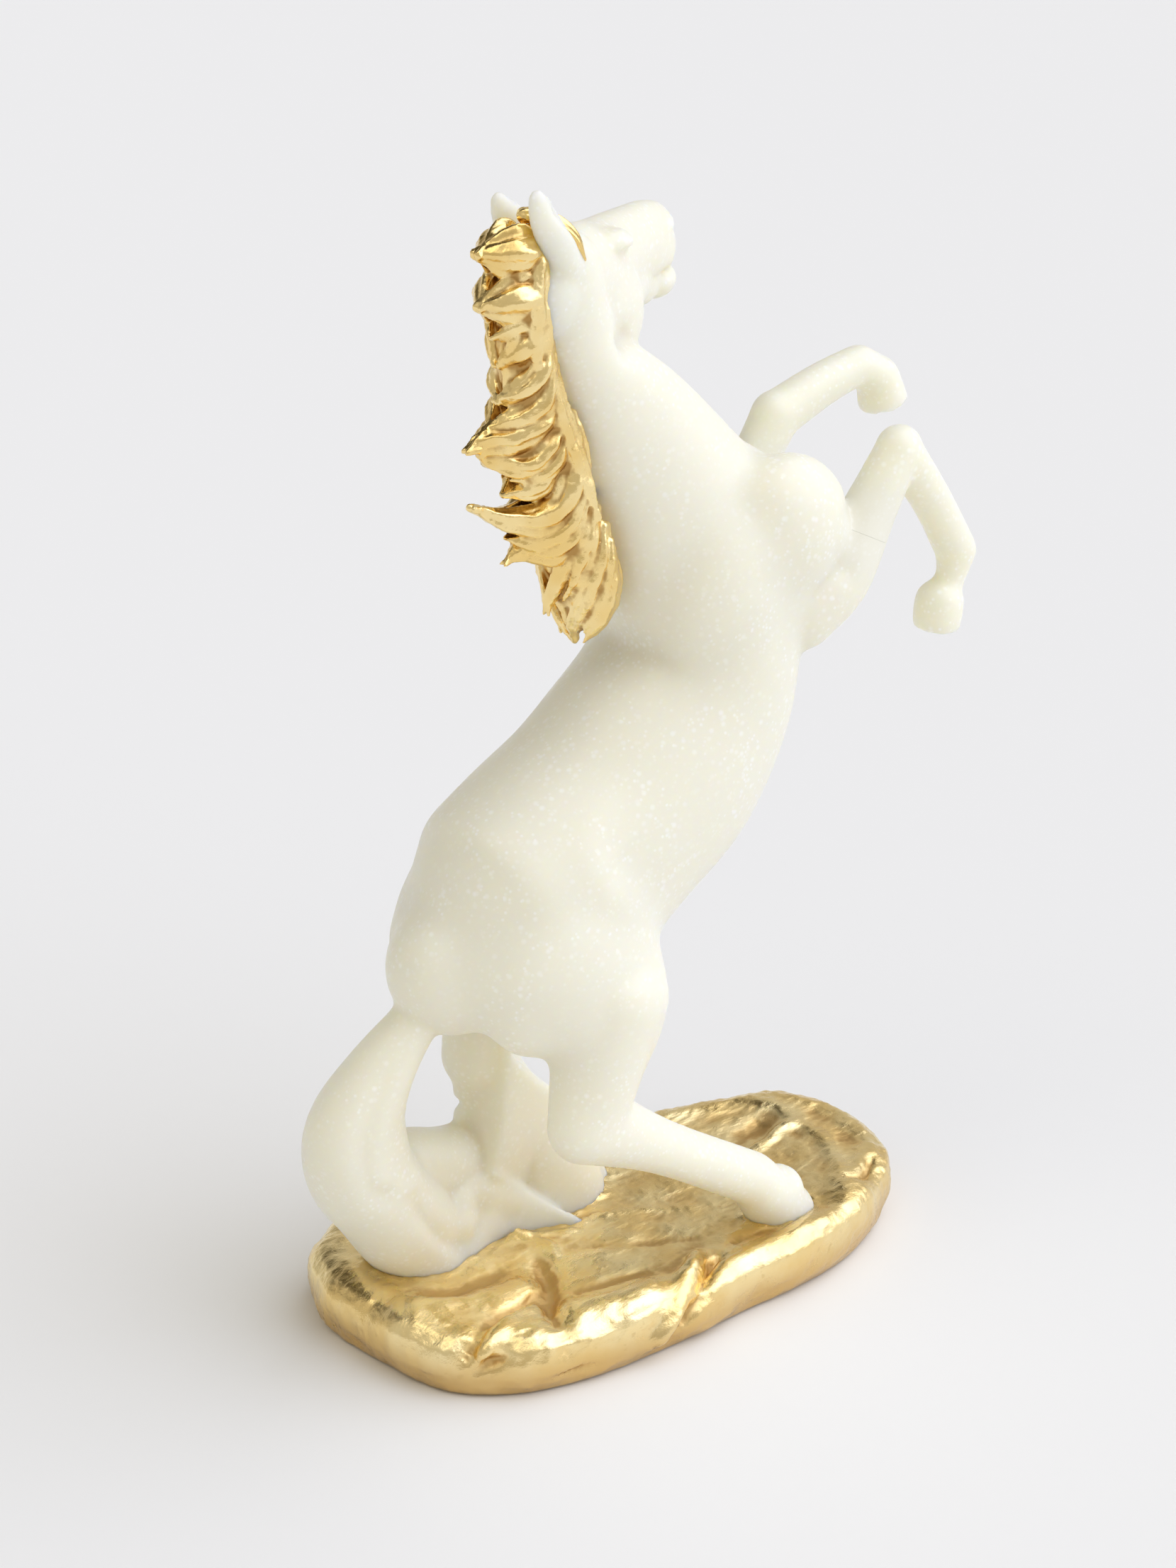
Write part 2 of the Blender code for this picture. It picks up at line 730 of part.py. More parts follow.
def pad_slab(name, low, high, grow):
    clay = Clay()
    outward = pad_plan / np.linalg.norm(pad_plan, axis=1)[:, None]
    plan = pad_plan + outward * grow
    clay.ring_stack([[np.array([x, y, z]) for x, y in plan] for z in (low, high)])
    return mesh_object(name, clay.points, clay.faces)


cut(base, pad_slab("recess", -1.0, RECESS_CEILING, SEAM_GAP))
nodes["rock_base"] = base
nodes["felt_pad"] = pad_slab("felt_pad", PAD_BOTTOM, PAD_TOP, 0.0)

washer_top = RECESS_CEILING + COUNTERBORE_DEPTH - SEAM_GAP
washer_low = washer_top - WASHER_THICKNESS
nut_top = washer_low - SEAM_GAP
nut_low = nut_top - NUT_THICKNESS
for place, (x, y) in FIXINGS.items():
    cut(
        base,
        rod("counterbore", (x, y, 1.0), (x, y, RECESS_CEILING + COUNTERBORE_DEPTH), COUNTERBORE_RADIUS),
        rod("bore", (x, y, 1.0), (x, y, SOCKET_FLOOR + 1.0), ROD_BORE_RADIUS),
    )
    cut(horse, rod("bore", (x, y, SOCKET_FLOOR - 1.0), (x, y, ROD_TOP + DOWEL_PLAY), ROD_BORE_RADIUS))
    nodes[f"{place}_rod"] = rod(f"{place}_rod", (x, y, nut_low - 0.5), (x, y, ROD_TOP), ROD_RADIUS)
    nodes[f"{place}_washer"] = ring_plate(
        f"{place}_washer", (x, y), washer_low, washer_top, WASHER_RADIUS, ROD_BORE_RADIUS, 24
    )
    nodes[f"{place}_nut"] = ring_plate(
        f"{place}_nut", (x, y), nut_low, nut_top, NUT_ACROSS_FLATS / math.sqrt(3), ROD_BORE_RADIUS, 6
    )

# ---------------------------------------------------------------- materials

RESIN, GILDING, STEEL, FELT = (
    (0.86, 0.84, 0.74, 1),
    (0.83, 0.62, 0.26, 1),
    (0.62, 0.63, 0.65, 1),
    (0.12, 0.12, 0.11, 1),
)
FINISHES = {
    "cast_resin": (RESIN, 0.0, 0.35, ("body_casting", "right_foreleg", "left_foreleg")),
    "gold_leaf": (GILDING, 1.0, 0.3, ("mane", "forelock", "rock_base")),
    "felt": (FELT, 0.0, 0.95, ("felt_pad",)),
}


def finish_of(name):
    for finish, (colour, metal, rough, names) in FINISHES.items():
        if name in names:
            return finish, colour, metal, rough
    return "steel", STEEL, 1.0, 0.3


for name, obj in nodes.items():
    finish, colour, metal, rough = finish_of(name)
    material = bpy.data.materials.new(f"{name}_{finish}")
    material.use_nodes = True
    shader = material.node_tree.nodes["Principled BSDF"]
    shader.inputs["Base Color"].default_value = colour
    shader.inputs["Metallic"].default_value = metal
    shader.inputs["Roughness"].default_value = rough
    obj.data.materials.clear()
    obj.data.materials.append(material)
    obj.data.polygons.foreach_set("use_smooth", [True] * len(obj.data.polygons))
    obj.data.set_sharp_from_angle(angle=SHARP_EDGE)
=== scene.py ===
"""Looks of the rearing horse statuette: resin castings, gilded mane and rock, and the studio.

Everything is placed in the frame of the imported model: the horse faces +X, its left side
is +Y, Z is up and the origin is the centre of the resting face. Shapes are written in
millimetres, and MM turns them into Blender's metres.
"""

import math

import bpy
import numpy as np
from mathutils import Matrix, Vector, noise
from mathutils.bvhtree import BVHTree


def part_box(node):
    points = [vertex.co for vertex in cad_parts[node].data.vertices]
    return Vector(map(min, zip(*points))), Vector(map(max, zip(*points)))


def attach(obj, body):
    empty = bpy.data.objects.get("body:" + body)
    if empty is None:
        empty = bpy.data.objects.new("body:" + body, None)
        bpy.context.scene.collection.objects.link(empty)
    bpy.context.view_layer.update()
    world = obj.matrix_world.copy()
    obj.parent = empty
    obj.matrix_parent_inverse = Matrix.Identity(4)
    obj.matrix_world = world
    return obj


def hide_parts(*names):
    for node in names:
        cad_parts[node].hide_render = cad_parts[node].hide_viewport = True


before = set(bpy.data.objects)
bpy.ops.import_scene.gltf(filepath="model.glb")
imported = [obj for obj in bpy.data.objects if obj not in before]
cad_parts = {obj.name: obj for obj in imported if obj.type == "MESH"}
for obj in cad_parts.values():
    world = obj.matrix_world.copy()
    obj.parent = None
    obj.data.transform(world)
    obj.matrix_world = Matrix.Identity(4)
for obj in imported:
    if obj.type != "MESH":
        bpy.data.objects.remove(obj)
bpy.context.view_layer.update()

MM = 0.001

# ---- Grain of the meshes ----
TORSO_VOXEL = 1.2
CAST_VOXEL = 0.85
MANE_VOXEL = 0.36
FORELOCK_VOXEL = 0.3
ROCK_VOXEL = 0.65
TORSO_SMOOTHING = 50
CAST_SMOOTHING = 9
LEAF_SMOOTHING = 2
ROCK_SMOOTHING = 3
SHARP_EDGE = math.radians(55)

# ---- Head ----
HEAD_TURN = 26
HEAD_DROP = 7
POLL = np.array([-22.0, 0.0, 248.0])

# ---- Fits between pieces ----
SEAM_GAP = 0.03
SKIN_GAP = 0.05
BORE_PLAY = 0.3


# ---------------------------------------------------------------- shells


def spline(rows, per_span=4):
    """Smooth curve through the rows, with per_span steps between neighbours."""
    rows = np.array(rows, float)
    ends = np.vstack([2 * rows[0] - rows[1], rows, 2 * rows[-1] - rows[-2]])
    found = []
    for i in range(len(rows) - 1):
        a, b, c, d = ends[i : i + 4]
        for step in range(per_span):
            t = step / per_span
            bend = (2 * a - 5 * b + 4 * c - d) * t**2 + (3 * b - a - 3 * c + d) * t**3
            found.append(0.5 * (2 * b + (c - a) * t + bend))
    found.append(rows[-1])
    return np.array(found)


# Latitudes, in degrees, of the rings that round off the end of a limb.
DOME_RINGS = (80, 60, 40, 20)


class Clay:
    """Closed shells that overlap, later fused into one skin."""

    def __init__(self):
        self.points = []
        self.faces = []

    def ring_stack(self, rings):
        """Closes a stack of equal rings with a face at each end."""
        first = len(self.points)
        around = len(rings[0])
        for ring in rings:
            self.points.extend(ring)
        for level in range(len(rings) - 1):
            for k in range(around):
                a = first + level * around + k
                b = first + level * around + (k + 1) % around
                self.faces.append((a, b, b + around, a + around))
        top = first + (len(rings) - 1) * around
        self.faces.append(tuple(first + k for k in reversed(range(around))))
        self.faces.append(tuple(top + k for k in range(around)))

    def limb(
        self, rings, side=(0, 1, 0), per_span=4, around=28, flat_ends=False,
        strands=0, twist=0.0, groove=0.0,
    ):
        """A tube through rings of x, y, z, half depth, half width; the width lies along side.

        With strands its surface is grooved lengthwise like a lock of hair, and the grooves
        turn by twist radians from one end to the other.
        """
        rows = spline(rings, per_span)
        centres = rows[:, :3]
        radii = np.maximum(rows[:, 3:5], 0.2)
        along = np.gradient(centres, axis=0)
        along /= np.linalg.norm(along, axis=1)[:, None]
        angles = np.arange(around) * 2 * math.pi / around
        stack = []

        def ring(i, share, shift):
            width = np.array(side, float)
            width = width - along[i] * (width @ along[i])
            width /= np.linalg.norm(width)
            depth = np.cross(width, along[i])
            centre = centres[i] + along[i] * shift
            phase = twist * i / len(rows)
            spots = []
            for t in angles:
                comb = math.cos(strands * t + phase) + 0.4 * math.cos((2 * strands + 1) * t - 1.6 * phase)
                swell = share * (1 + groove * comb)
                across = radii[i, 0] * swell * math.cos(t)
                sideways = radii[i, 1] * swell * math.sin(t)
                spots.append(centre + depth * across + width * sideways)
            return spots

        domes = () if flat_ends else DOME_RINGS
        for dome in domes:
            t = math.radians(dome)
            stack.append(ring(0, math.cos(t), -radii[0].min() * math.sin(t)))
        for i in range(len(rows)):
            stack.append(ring(i, 1.0, 0.0))
        for dome in reversed(domes):
            t = math.radians(dome)
            stack.append(ring(len(rows) - 1, math.cos(t), radii[-1].min() * math.sin(t)))
        self.ring_stack(stack)

    def absorb(self, obj):
        first = len(self.points)
        self.points.extend(np.array(vertex.co) / MM for vertex in obj.data.vertices)
        for face in obj.data.polygons:
            self.faces.append(tuple(first + corner for corner in face.vertices))

    def ball(self, centre, radii, axes=None, around=28):
        """An ellipsoid whose radii lie along the rows of axes."""
        axes = np.eye(3) if axes is None else np.array(axes)
        rings = []
        for level in range(1, 16):
            polar = math.pi * level / 16
            rings.append(
                [
                    np.array(centre)
                    + axes[0] * (radii[0] * math.sin(polar) * math.cos(t))
                    + axes[1] * (radii[1] * math.sin(polar) * math.sin(t))
                    - axes[2] * (radii[2] * math.cos(polar))
                    for t in np.arange(around) * 2 * math.pi / around
                ]
            )
        self.ring_stack(rings)


def tilted(pitch, yaw=0.0):
    """Axes of a shape whose first axis points forward, up by pitch and left by yaw, in degrees."""
    p, w = math.radians(pitch), math.radians(yaw)
    forward = np.array([math.cos(p) * math.cos(w), math.cos(p) * math.sin(w), math.sin(p)])
    left = np.array([-math.sin(w), math.cos(w), 0.0])
    return np.array([forward, left, np.cross(forward, left)])


def mesh_object(name, points, faces):
    mesh = bpy.data.meshes.new(name)
    mesh.from_pydata([tuple(float(v) * MM for v in p) for p in points], [], faces)
    obj = bpy.data.objects.new(name, mesh)
    bpy.context.scene.collection.objects.link(obj)
    return obj


def settle(obj):
    """Replaces the mesh by the one its modifiers make."""
    graph = bpy.context.evaluated_depsgraph_get()
    made = bpy.data.meshes.new_from_object(obj.evaluated_get(graph))
    obj.modifiers.clear()
    obj.data = made
    return obj


def fused(name, clay, voxel, smoothing):
    """One skin round all the shells."""
    obj = mesh_object(name, clay.points, clay.faces)
    remesh = obj.modifiers.new("fuse", "REMESH")
    remesh.mode = "VOXEL"
    remesh.voxel_size = voxel * MM
    smooth = obj.modifiers.new("smooth", "SMOOTH")
    smooth.factor = 0.5
    smooth.iterations = smoothing
    return settle(obj)


def dropped(*objects):
    for obj in objects:
        bpy.data.objects.remove(obj)


def combined(obj, operation, cutter, keep_cutter=False):
    step = obj.modifiers.new(cutter.name, "BOOLEAN")
    step.object = cutter
    step.operation = operation
    step.solver = "MANIFOLD"
    settle(obj)
    if not keep_cutter:
        dropped(cutter)
    return obj


def copy_of(obj, name):
    twin = obj.copy()
    twin.data = obj.data.copy()
    twin.name = name
    bpy.context.scene.collection.objects.link(twin)
    return twin


def swollen(obj, name, by):
    """A copy of the object pushed out by this much, for cutting a clearance."""
    twin = copy_of(obj, name)
    push = twin.modifiers.new("push", "DISPLACE")
    push.strength = by * MM
    push.mid_level = 0.0
    return settle(twin)


def rod(name, start, end, radius, sides=32):
    start, end = np.array(start, float), np.array(end, float)
    along = (end - start) / np.linalg.norm(end - start)
    across = np.cross(along, (0, 0, 1) if abs(along[2]) < 0.9 else (1, 0, 0))
    across /= np.linalg.norm(across)
    other = np.cross(along, across)
    clay = Clay()
    angles = np.arange(sides) * 2 * math.pi / sides
    clay.ring_stack(
        [
            [spot + (across * math.cos(t) + other * math.sin(t)) * radius for t in angles]
            for spot in (start, end)
        ]
    )
    return mesh_object(name, clay.points, clay.faces)


def block(name, low, high):
    corners = [
        np.array([x, y, z], float)
        for z in (low[2], high[2])
        for x, y in ((low[0], low[1]), (high[0], low[1]), (high[0], high[1]), (low[0], high[1]))
    ]
    clay = Clay()
    clay.ring_stack([corners[:4], corners[4:]])
    return mesh_object(name, clay.points, clay.faces)


# ---------------------------------------------------------------- carving


def surface_of(obj):
    """The places of the vertices, in millimetres, and their normals."""
    count = len(obj.data.vertices)
    places, normals = np.empty(count * 3), np.empty(count * 3)
    obj.data.vertices.foreach_get("co", places)
    obj.data.vertex_normals.foreach_get("vector", normals)
    return places.reshape(-1, 3) / MM, normals.reshape(-1, 3)


def reshape(obj, places):
    obj.data.vertices.foreach_set("co", (places * MM).ravel())
    obj.data.update()


def near_path(places, path):
    """For each place, its distance from the path and how far along the path that is, 0 to 1."""
    line = spline(path, 8)
    nearest = np.full(len(places), 1e9)
    share = np.zeros(len(places))
    for number, spot in enumerate(line):
        gap = np.linalg.norm(places - spot, axis=1)
        closer = gap < nearest
        nearest[closer] = gap[closer]
        share[closer] = number / (len(line) - 1)
    return nearest, share


def carve(obj, strokes):
    """Raises the skin along each stroke: width, height (sunk if negative) and path."""
    for width, height, path in strokes:
        places, normals = surface_of(obj)
        gap, share = near_path(places, path)
        fade = np.clip(np.sin(math.pi * (0.06 + 0.88 * share)) * 2.2, 0, 1)
        push = height * fade * np.exp(-((gap / width) ** 2))
        reshape(obj, places + normals * push[:, None])


def neighbours_of(obj):
    edges = np.empty(len(obj.data.edges) * 2, np.int64)
    obj.data.edges.foreach_get("vertices", edges)
    return edges.reshape(-1, 2)


def mark_hollows(obj, rounds, full):
    """Stores how far each vertex lies below (above, if negative) the smoothed skin, as -1 to 1."""
    places, normals = surface_of(obj)
    edges = neighbours_of(obj)
    count = np.maximum(np.bincount(edges.ravel(), minlength=len(places)), 1)[:, None]
    calm = places.copy()
    for _ in range(rounds):
        total = np.zeros_like(calm)
        for axis in range(3):
            total[:, axis] = np.bincount(edges[:, 0], calm[edges[:, 1], axis], len(calm))
            total[:, axis] += np.bincount(edges[:, 1], calm[edges[:, 0], axis], len(calm))
        calm = total / count
    depth = np.clip(((calm - places) * normals).sum(1) / full, -1, 1)
    layer = obj.data.attributes.new("hollow", "FLOAT", "POINT")
    layer.data.foreach_set("value", depth.astype(np.float32))


def smooth_shaded(obj):
    obj.data.polygons.foreach_set("use_smooth", [True] * len(obj.data.polygons))
    obj.data.set_sharp_from_angle(angle=SHARP_EDGE)


# ---------------------------------------------------------------- horse


def add_trunk(clay):
    clay.limb(
        [
            (-50.4, 0, 91.5, 15.5, 14),
            (-42.2, 0, 94.6, 23.6, 21.3),
            (-33, 0, 98.5, 29.5, 25.4),
            (-21.6, 0, 106.8, 28.2, 25.8),
            (-8, 0, 115.2, 26.8, 25.4),
            (5.5, 0, 125, 27.2, 25.5),
            (16.2, 0, 138.6, 24.4, 24.5),
            (20.4, 0, 152, 20.6, 24.4),
            (19, 0, 166, 23.4, 22.2),
            (13.4, 0, 180, 22.4, 17.2),
            (6.2, 0, 193, 18.8, 13.2),
            (-2, 0, 205, 15.8, 10.4),
            (-11, 0, 217.4, 11.4, 9.4),
            (-17.5, 0, 229.5, 10, 9),
            (-20, 0, 241, 10.5, 8.5),
        ],
    )


def add_shoulders(clay):
    """The points of the shoulders, the muscle below them, and the chest between."""
    for left in (-1, 1):
        clay.ball((32.6, 14.6 * left, 176.5), (16, 10.8, 18), tilted(20))
        clay.ball((29, 12.5 * left, 160), (12.4, 11.4, 13), tilted(60))
        clay.ball((18, 11.8 * left, 166), (22, 12.4, 18), tilted(70))
    clay.ball((30, 0, 174), (15, 15, 21), tilted(20))
    clay.ball((29, 0, 160), (13, 15, 14), tilted(40))


def add_haunches(clay):
    """The right haunch carries the horse; the left one is drawn further under it."""
    right = [
        (-34, -13, 99, 22.5, 14.5),
        (-28.5, -16.5, 90, 20.5, 13.5),
        (-24.5, -19.5, 80, 17.8, 12),
        (-26, -21, 69, 12, 9.5),
    ]
    left = [
        (-34, 13, 99, 21.5, 14.5),
        (-27, 17, 90, 17, 13.5),
        (-23, 19.5, 80, 13, 12),
        (-24, 20.5, 70, 10, 9.5),
    ]
    for rings in (right, left):
        clay.limb(rings)
        clay.ball((-44.5, rings[0][1] * 0.7, 93.5), (12.5, 12, 14))
    clay.ball((-39.5, -16, 84.6), (12, 9, 11))


HEAD_AXES = tilted(-HEAD_DROP, HEAD_TURN)


def on_head(along, left, up):
    """A place given along the face from the poll, to the horse's left and up."""
    return POLL + HEAD_AXES[0] * along + HEAD_AXES[1] * left + HEAD_AXES[2] * up


def add_head(clay):
    profile = [
        (0, -11.5, 11.0, 8.5),
        (8, -12.6, 13.2, 9.3),
        (16, -12, 13.2, 9.6),
        (24, -10.2, 11.0, 8.6),
        (32, -8.8, 9.8, 7.4),
        (40, -8.2, 9.4, 6.6),
        (47, -8.5, 9.9, 6.4),
        (53.5, -9.0, 9.8, 6.0),
    ]
    clay.limb(
        [(*on_head(along, 0, up), deep, wide) for along, up, deep, wide in profile],
        side=HEAD_AXES[1],
    )
    for left in (-1, 1):
        clay.ball(on_head(21, 5.4 * left, -18.8), (13, 5.8, 12), HEAD_AXES)
        clay.limb(
            [
                (*on_head(24, 4.6 * left, -18.2), 10.4, 5.0),
                (*on_head(33, 3.4 * left, -15.6), 6.4, 4.4),
                (*on_head(43, 1.8 * left, -15.4), 4.4, 3.6),
            ],
            side=HEAD_AXES[1],
        )
        clay.ball(on_head(20, 6.5 * left, -3.0), (5.0, 3.0, 2.8), HEAD_AXES)
        clay.ball(on_head(53, 3.6 * left, -5.5), (3.6, 3.0, 3.6), HEAD_AXES)
    clay.ball(on_head(55.6, 0, -16.4), (6.6, 5.6, 4.6), HEAD_AXES)
    clay.ball(on_head(46, 0, -17.0), (9.0, 5.0, 4.4), HEAD_AXES)
    clay.ball(on_head(53.5, 0, -9.5), (5.0, 5.6, 6.0), HEAD_AXES)


def add_ears(clay):
    tips = {-1: (-31.5, -7.2, 260), 1: (-29.5, 7.2, 256.5)}
    for left, tip in tips.items():
        root = np.array([-22.0, 6.4 * left, 243.0])
        rows = []
        for share, deep, wide in ((0.0, 3.4, 3.0), (0.35, 4.2, 2.6), (0.7, 3.8, 2.1), (0.94, 2.0, 1.3)):
            rows.append((*(root + (np.array(tip) - root) * share), deep, wide))
        clay.limb(rows)


def add_hind_leg(clay, stifle, gaskin, hock, cannon, fetlock, hoof):
    """Each joint is x, y, z, half depth, half width."""
    clay.limb([stifle, gaskin, hock])
    clay.ball(hock[:3], (hock[3], hock[4], hock[3]))
    clay.limb([hock, cannon, fetlock])
    clay.ball(fetlock[:3], (fetlock[3], fetlock[4], fetlock[3]))
    clay.limb([fetlock, hoof], per_span=3)


def add_left_boot(clay):
    """A square post of tail hair runs down the back of the left leg; the foot flares to a toe."""
    post = [
        (24, [(-40, 22), (-32, 10), (-3, 12), (-3, 27)]),
        (34, [(-35, 22), (-30.5, 8.5), (-6, 10), (-6, 27)]),
        (42, [(-32.4, 21), (-28.5, 8.8), (-10, 9.5), (-10, 27)]),
        (50, [(-32.2, 21), (-27.6, 9), (-18, 9), (-16, 27)]),
        (58, [(-31.2, 21), (-26.4, 9), (-25.5, 9), (-22, 26)]),
        (72, [(-30.4, 21), (-26, 11), (-22, 11), (-20, 26)]),
    ]
    clay.ring_stack([[np.array([x, y, z]) for x, y in corners] for z, corners in post])
    for height in (41, 47, 53, 60):
        clay.ball((-32.2, 20.5, height), (1.5, 1.8, 2.2))
    clay.limb([(-16, 18, 36, 8, 7), (-11, 15, 25, 11, 8), (-8, 16, 12, 13, 10)])
    clay.limb([(-9, 19, 16, 7.5, 8), (-1, 18, 13.5, 5, 6), (5, 16.5, 12.5, 3, 3)])


def add_foreleg(clay, shoulder, elbow, forearm, knee, cannon, fetlock, pastern, sole):
    """Each joint is x, y, z, half depth, half width."""
    clay.limb([shoulder, elbow, forearm, knee])
    clay.ball(knee[:3], (knee[3] + 0.4, knee[4], knee[3] + 0.4))
    clay.limb([knee, cannon, fetlock])
    clay.ball(fetlock[:3], (fetlock[3], fetlock[4], fetlock[3]))
    clay.limb([fetlock, pastern], per_span=3)
    clay.limb([pastern, sole], per_span=3, flat_ends=True)


def add_near_hoof(clay):
    """The hanging right fore hoof is a cup wider than the pastern above it."""
    clay.limb(
        [
            (77.6, -18, 153.6, 3.6, 3.6),
            (77.0, -18, 151.4, 5.4, 5.3),
            (76.2, -18, 147.5, 5.7, 5.6),
            (75.8, -18, 143.4, 5.2, 5.3),
        ],
        flat_ends=True,
    )


def add_tail(clay):
    clay.limb(
        [
            (-49.5, 0, 92, 5, 6),
            (-57, 1, 83.5, 4.7, 5.6),
            (-66.4, 3, 72, 7.2, 7.6),
            (-71.5, 6, 59, 11.6, 9.5),
            (-69, 9, 46, 12, 12),
            (-61, 12, 34, 11.6, 13),
            (-53, 14, 23, 12, 12),
            (-48, 14, 13, 10, 10.5),
        ]
    )
    clay.limb(
        [
            (-63, 11, 42, 7, 7),
            (-52, 15, 38, 8, 8),
            (-42, 17.5, 32.5, 9, 8),
            (-31, 20, 29, 9, 8),
        ]
    )


def add_splash(clay):
    """The tail runs forward along the rock as a thin fin that sinks to a small tip."""
    clay.limb(
        [
            (-46, 13, 19, 12, 9),
            (-39, 13, 18, 14, 8),
            (-32, 12, 17, 13, 5),
            (-25, 10, 14, 9.8, 3.4),
            (-18, 6.5, 12, 6.4, 2.4),
            (-12, 2.4, 11.4, 2.8, 1.5),
        ]
    )


# Width, height and path of each fold in the castings.
HORSE_STROKES = [
    # point of the hip and the fold that runs down to the stifle
    (5.0, 0.7, [(-21, -22, 134), (-26, -23, 128), (-29, -24, 122), (-28, -26, 114)]),
    (4.6, 0.8, [(-28, -26, 114), (-23, -27, 109), (-18, -27, 103), (-13, -26, 97)]),
    (7.0, -0.7, [(-22, -25, 120), (-18, -26, 112), (-12, -26, 106)]),
    # elbow and forearm
    (5.0, -0.4, [(16, -22, 173), (22, -24, 166), (27, -25, 160), (31, -25, 155)]),
    (2.6, -0.7, [(47, -18, 180), (41, -25, 178), (39, -26, 171), (42, -25, 166)]),
]

# The same for the throat, the tail and the left hind foot, which have no mirror image.
LONE_STROKES = [
    (3.6, -2.4, [(-8, -9, 226), (-5.5, -5, 223.5), (-4.5, 0, 223), (-5.5, 5, 223.5), (-8, 9, 226)]),
    (3.0, -1.1, [(-69, -5, 76), (-74, -5, 67), (-76, -4, 57), (-73, -3, 47), (-66, -3, 42)]),
    (2.4, 0.9, [(-74, -2, 51), (-69, -4, 45), (-62, -3, 43), (-58, 0, 46)]),
    (2.6, -1.4, [(-62, -2, 40), (-57, 0, 31), (-49, 2, 22), (-41, 5, 18), (-36, 7, 22), (-37, 8, 28)]),
    (2.0, 1.0, [(-60, -2, 33), (-53, 0, 23), (-45, 1, 16), (-37, 4, 15)]),
    (1.4, 0.9, [(-29, 9, 58), (-30, 9, 48), (-31, 9, 42), (-34, 8, 35)]),
    (1.2, 1.0, [(-34, 9, 32), (-30, 9, 29), (-23, 7, 24), (-18, 5, 19), (-12, 2, 14)]),
    (3.0, -1.0, [(-40, 4, 27), (-33, 6, 22), (-26, 6, 17)]),
]


def head_strokes():
    """Eyes, nostrils and mouth, drawn on the face of the right side and mirrored to the left."""
    folds = [
        (1.4, -0.5, [(17.5, 8.4, -4.8), (20, 9.0, -5.6), (22.5, 8.4, -5.0)]),
        (1.2, 0.6, [(16.5, 8.6, -3.2), (20, 9.4, -2.6), (23.5, 8.6, -3.6)]),
        (1.5, -1.8, [(53, 6.2, -5.5), (56, 5.4, -4.8)]),
        (1.2, 0.8, [(50.5, 6.4, -4.0), (54, 6.4, -2.0), (57.5, 4.4, -3.6)]),
        (1.1, -1.5, [(44, 6.4, -14.6), (50, 6.0, -14.4), (56, 3.6, -14.0), (58, 0, -14.0)]),
    ]
    return [
        (width, height, [on_head(along, out * left, up) for along, out, up in path])
        for left in (-1, 1)
        for width, height, path in folds
    ]


def ear_strokes():
    """Each ear is cupped towards the front."""
    return [
        (1.6, -1.8, [(-18, 7.5 * left, 249), (-22.5, 8.0 * left, 253), (-27, 8.0 * left, 257)])
        for left in (-1, 1)
    ]


def mirrored(strokes):
    return [(width, height, [(x, -y, z) for x, y, z in path]) for width, height, path in strokes]


def horse():
    """The torso masses are melted together first, then the finer shapes join them."""
    soft = Clay()
    add_trunk(soft)
    add_shoulders(soft)
    add_haunches(soft)
    torso = fused("torso", soft, TORSO_VOXEL, TORSO_SMOOTHING)
    clay = Clay()
    clay.absorb(torso)
    dropped(torso)
    add_head(clay)
    add_ears(clay)
    add_hind_leg(
        clay,
        stifle=(-22.8, -21.5, 84.5, 13.8, 11.2),
        gaskin=(-27.8, -22, 67, 10.4, 9.4),
        hock=(-31, -23, 57, 9.5, 7.5),
        cannon=(-10, -23, 43.5, 6.3, 5.8),
        fetlock=(18, -23, 25, 6.2, 6.3),
        hoof=(28, -23, 12, 7.8, 7.6),
    )
    clay.ball((26, -23, 18.8), (6.4, 6.4, 6.2))
    add_hind_leg(
        clay,
        stifle=(-23, 20, 76, 12, 11),
        gaskin=(-25, 20, 66, 9.5, 9),
        hock=(-27.5, 20, 55, 8, 8),
        cannon=(-17, 20, 38, 8, 8),
        fetlock=(-4, 20, 22, 7, 7),
        hoof=(4, 19.5, 12, 5, 6.5),
    )
    add_left_boot(clay)
    add_foreleg(
        clay,
        shoulder=(34.4, -16, 158, 10.4, 8),
        elbow=(44, -18, 164, 8.5, 7.5),
        forearm=(53, -18, 176, 6.4, 6),
        knee=(62, -18, 189, 5.2, 5),
        cannon=(72.6, -18, 175, 4.7, 4.4),
        fetlock=(81.2, -18, 161, 4.8, 4.6),
        pastern=(80, -18, 155, 3.4, 3.4),
        sole=(77.4, -18, 151.5, 3.6, 3.6),
    )
    add_foreleg(
        clay,
        shoulder=(34, 16, 156, 12, 9),
        elbow=(45, 18, 166, 8, 7),
        forearm=(51.6, 18, 177.4, 5.9, 5.4),
        knee=(58.5, 18, 188, 5.8, 5.4),
        cannon=(72, 18, 192.4, 5.2, 4.8),
        fetlock=(84, 18, 195, 4.6, 4.6),
        pastern=(90.6, 18, 190.4, 5.2, 5.0),
        sole=(92.4, 18, 184, 6.0, 6.0),
    )
    add_near_hoof(clay)
    add_tail(clay)
    add_splash(clay)
    made = fused("horse", clay, CAST_VOXEL, CAST_SMOOTHING)
    carve(made, HORSE_STROKES + mirrored(HORSE_STROKES) + LONE_STROKES + head_strokes() + ear_strokes())
    return made


# ---------------------------------------------------------------- mane

# Each ring of the ridge: x, y, z, half depth, half width.
MANE_CREST = [
    (-26.5, -0.8, 246, 6.5, 5.2),
    (-28.5, -0.8, 239, 6.6, 5.2),
    (-29, -0.8, 229, 6.6, 5.0),
    (-27, -0.8, 215, 7.2, 5.0),
    (-23.5, -0.8, 201, 7.2, 5.0),
    (-19, -1.0, 188, 7.2, 5.2),
    (-15.5, -1.4, 175, 6.6, 5.4),
    (-13.5, -1.6, 166, 5.4, 5.2),
]

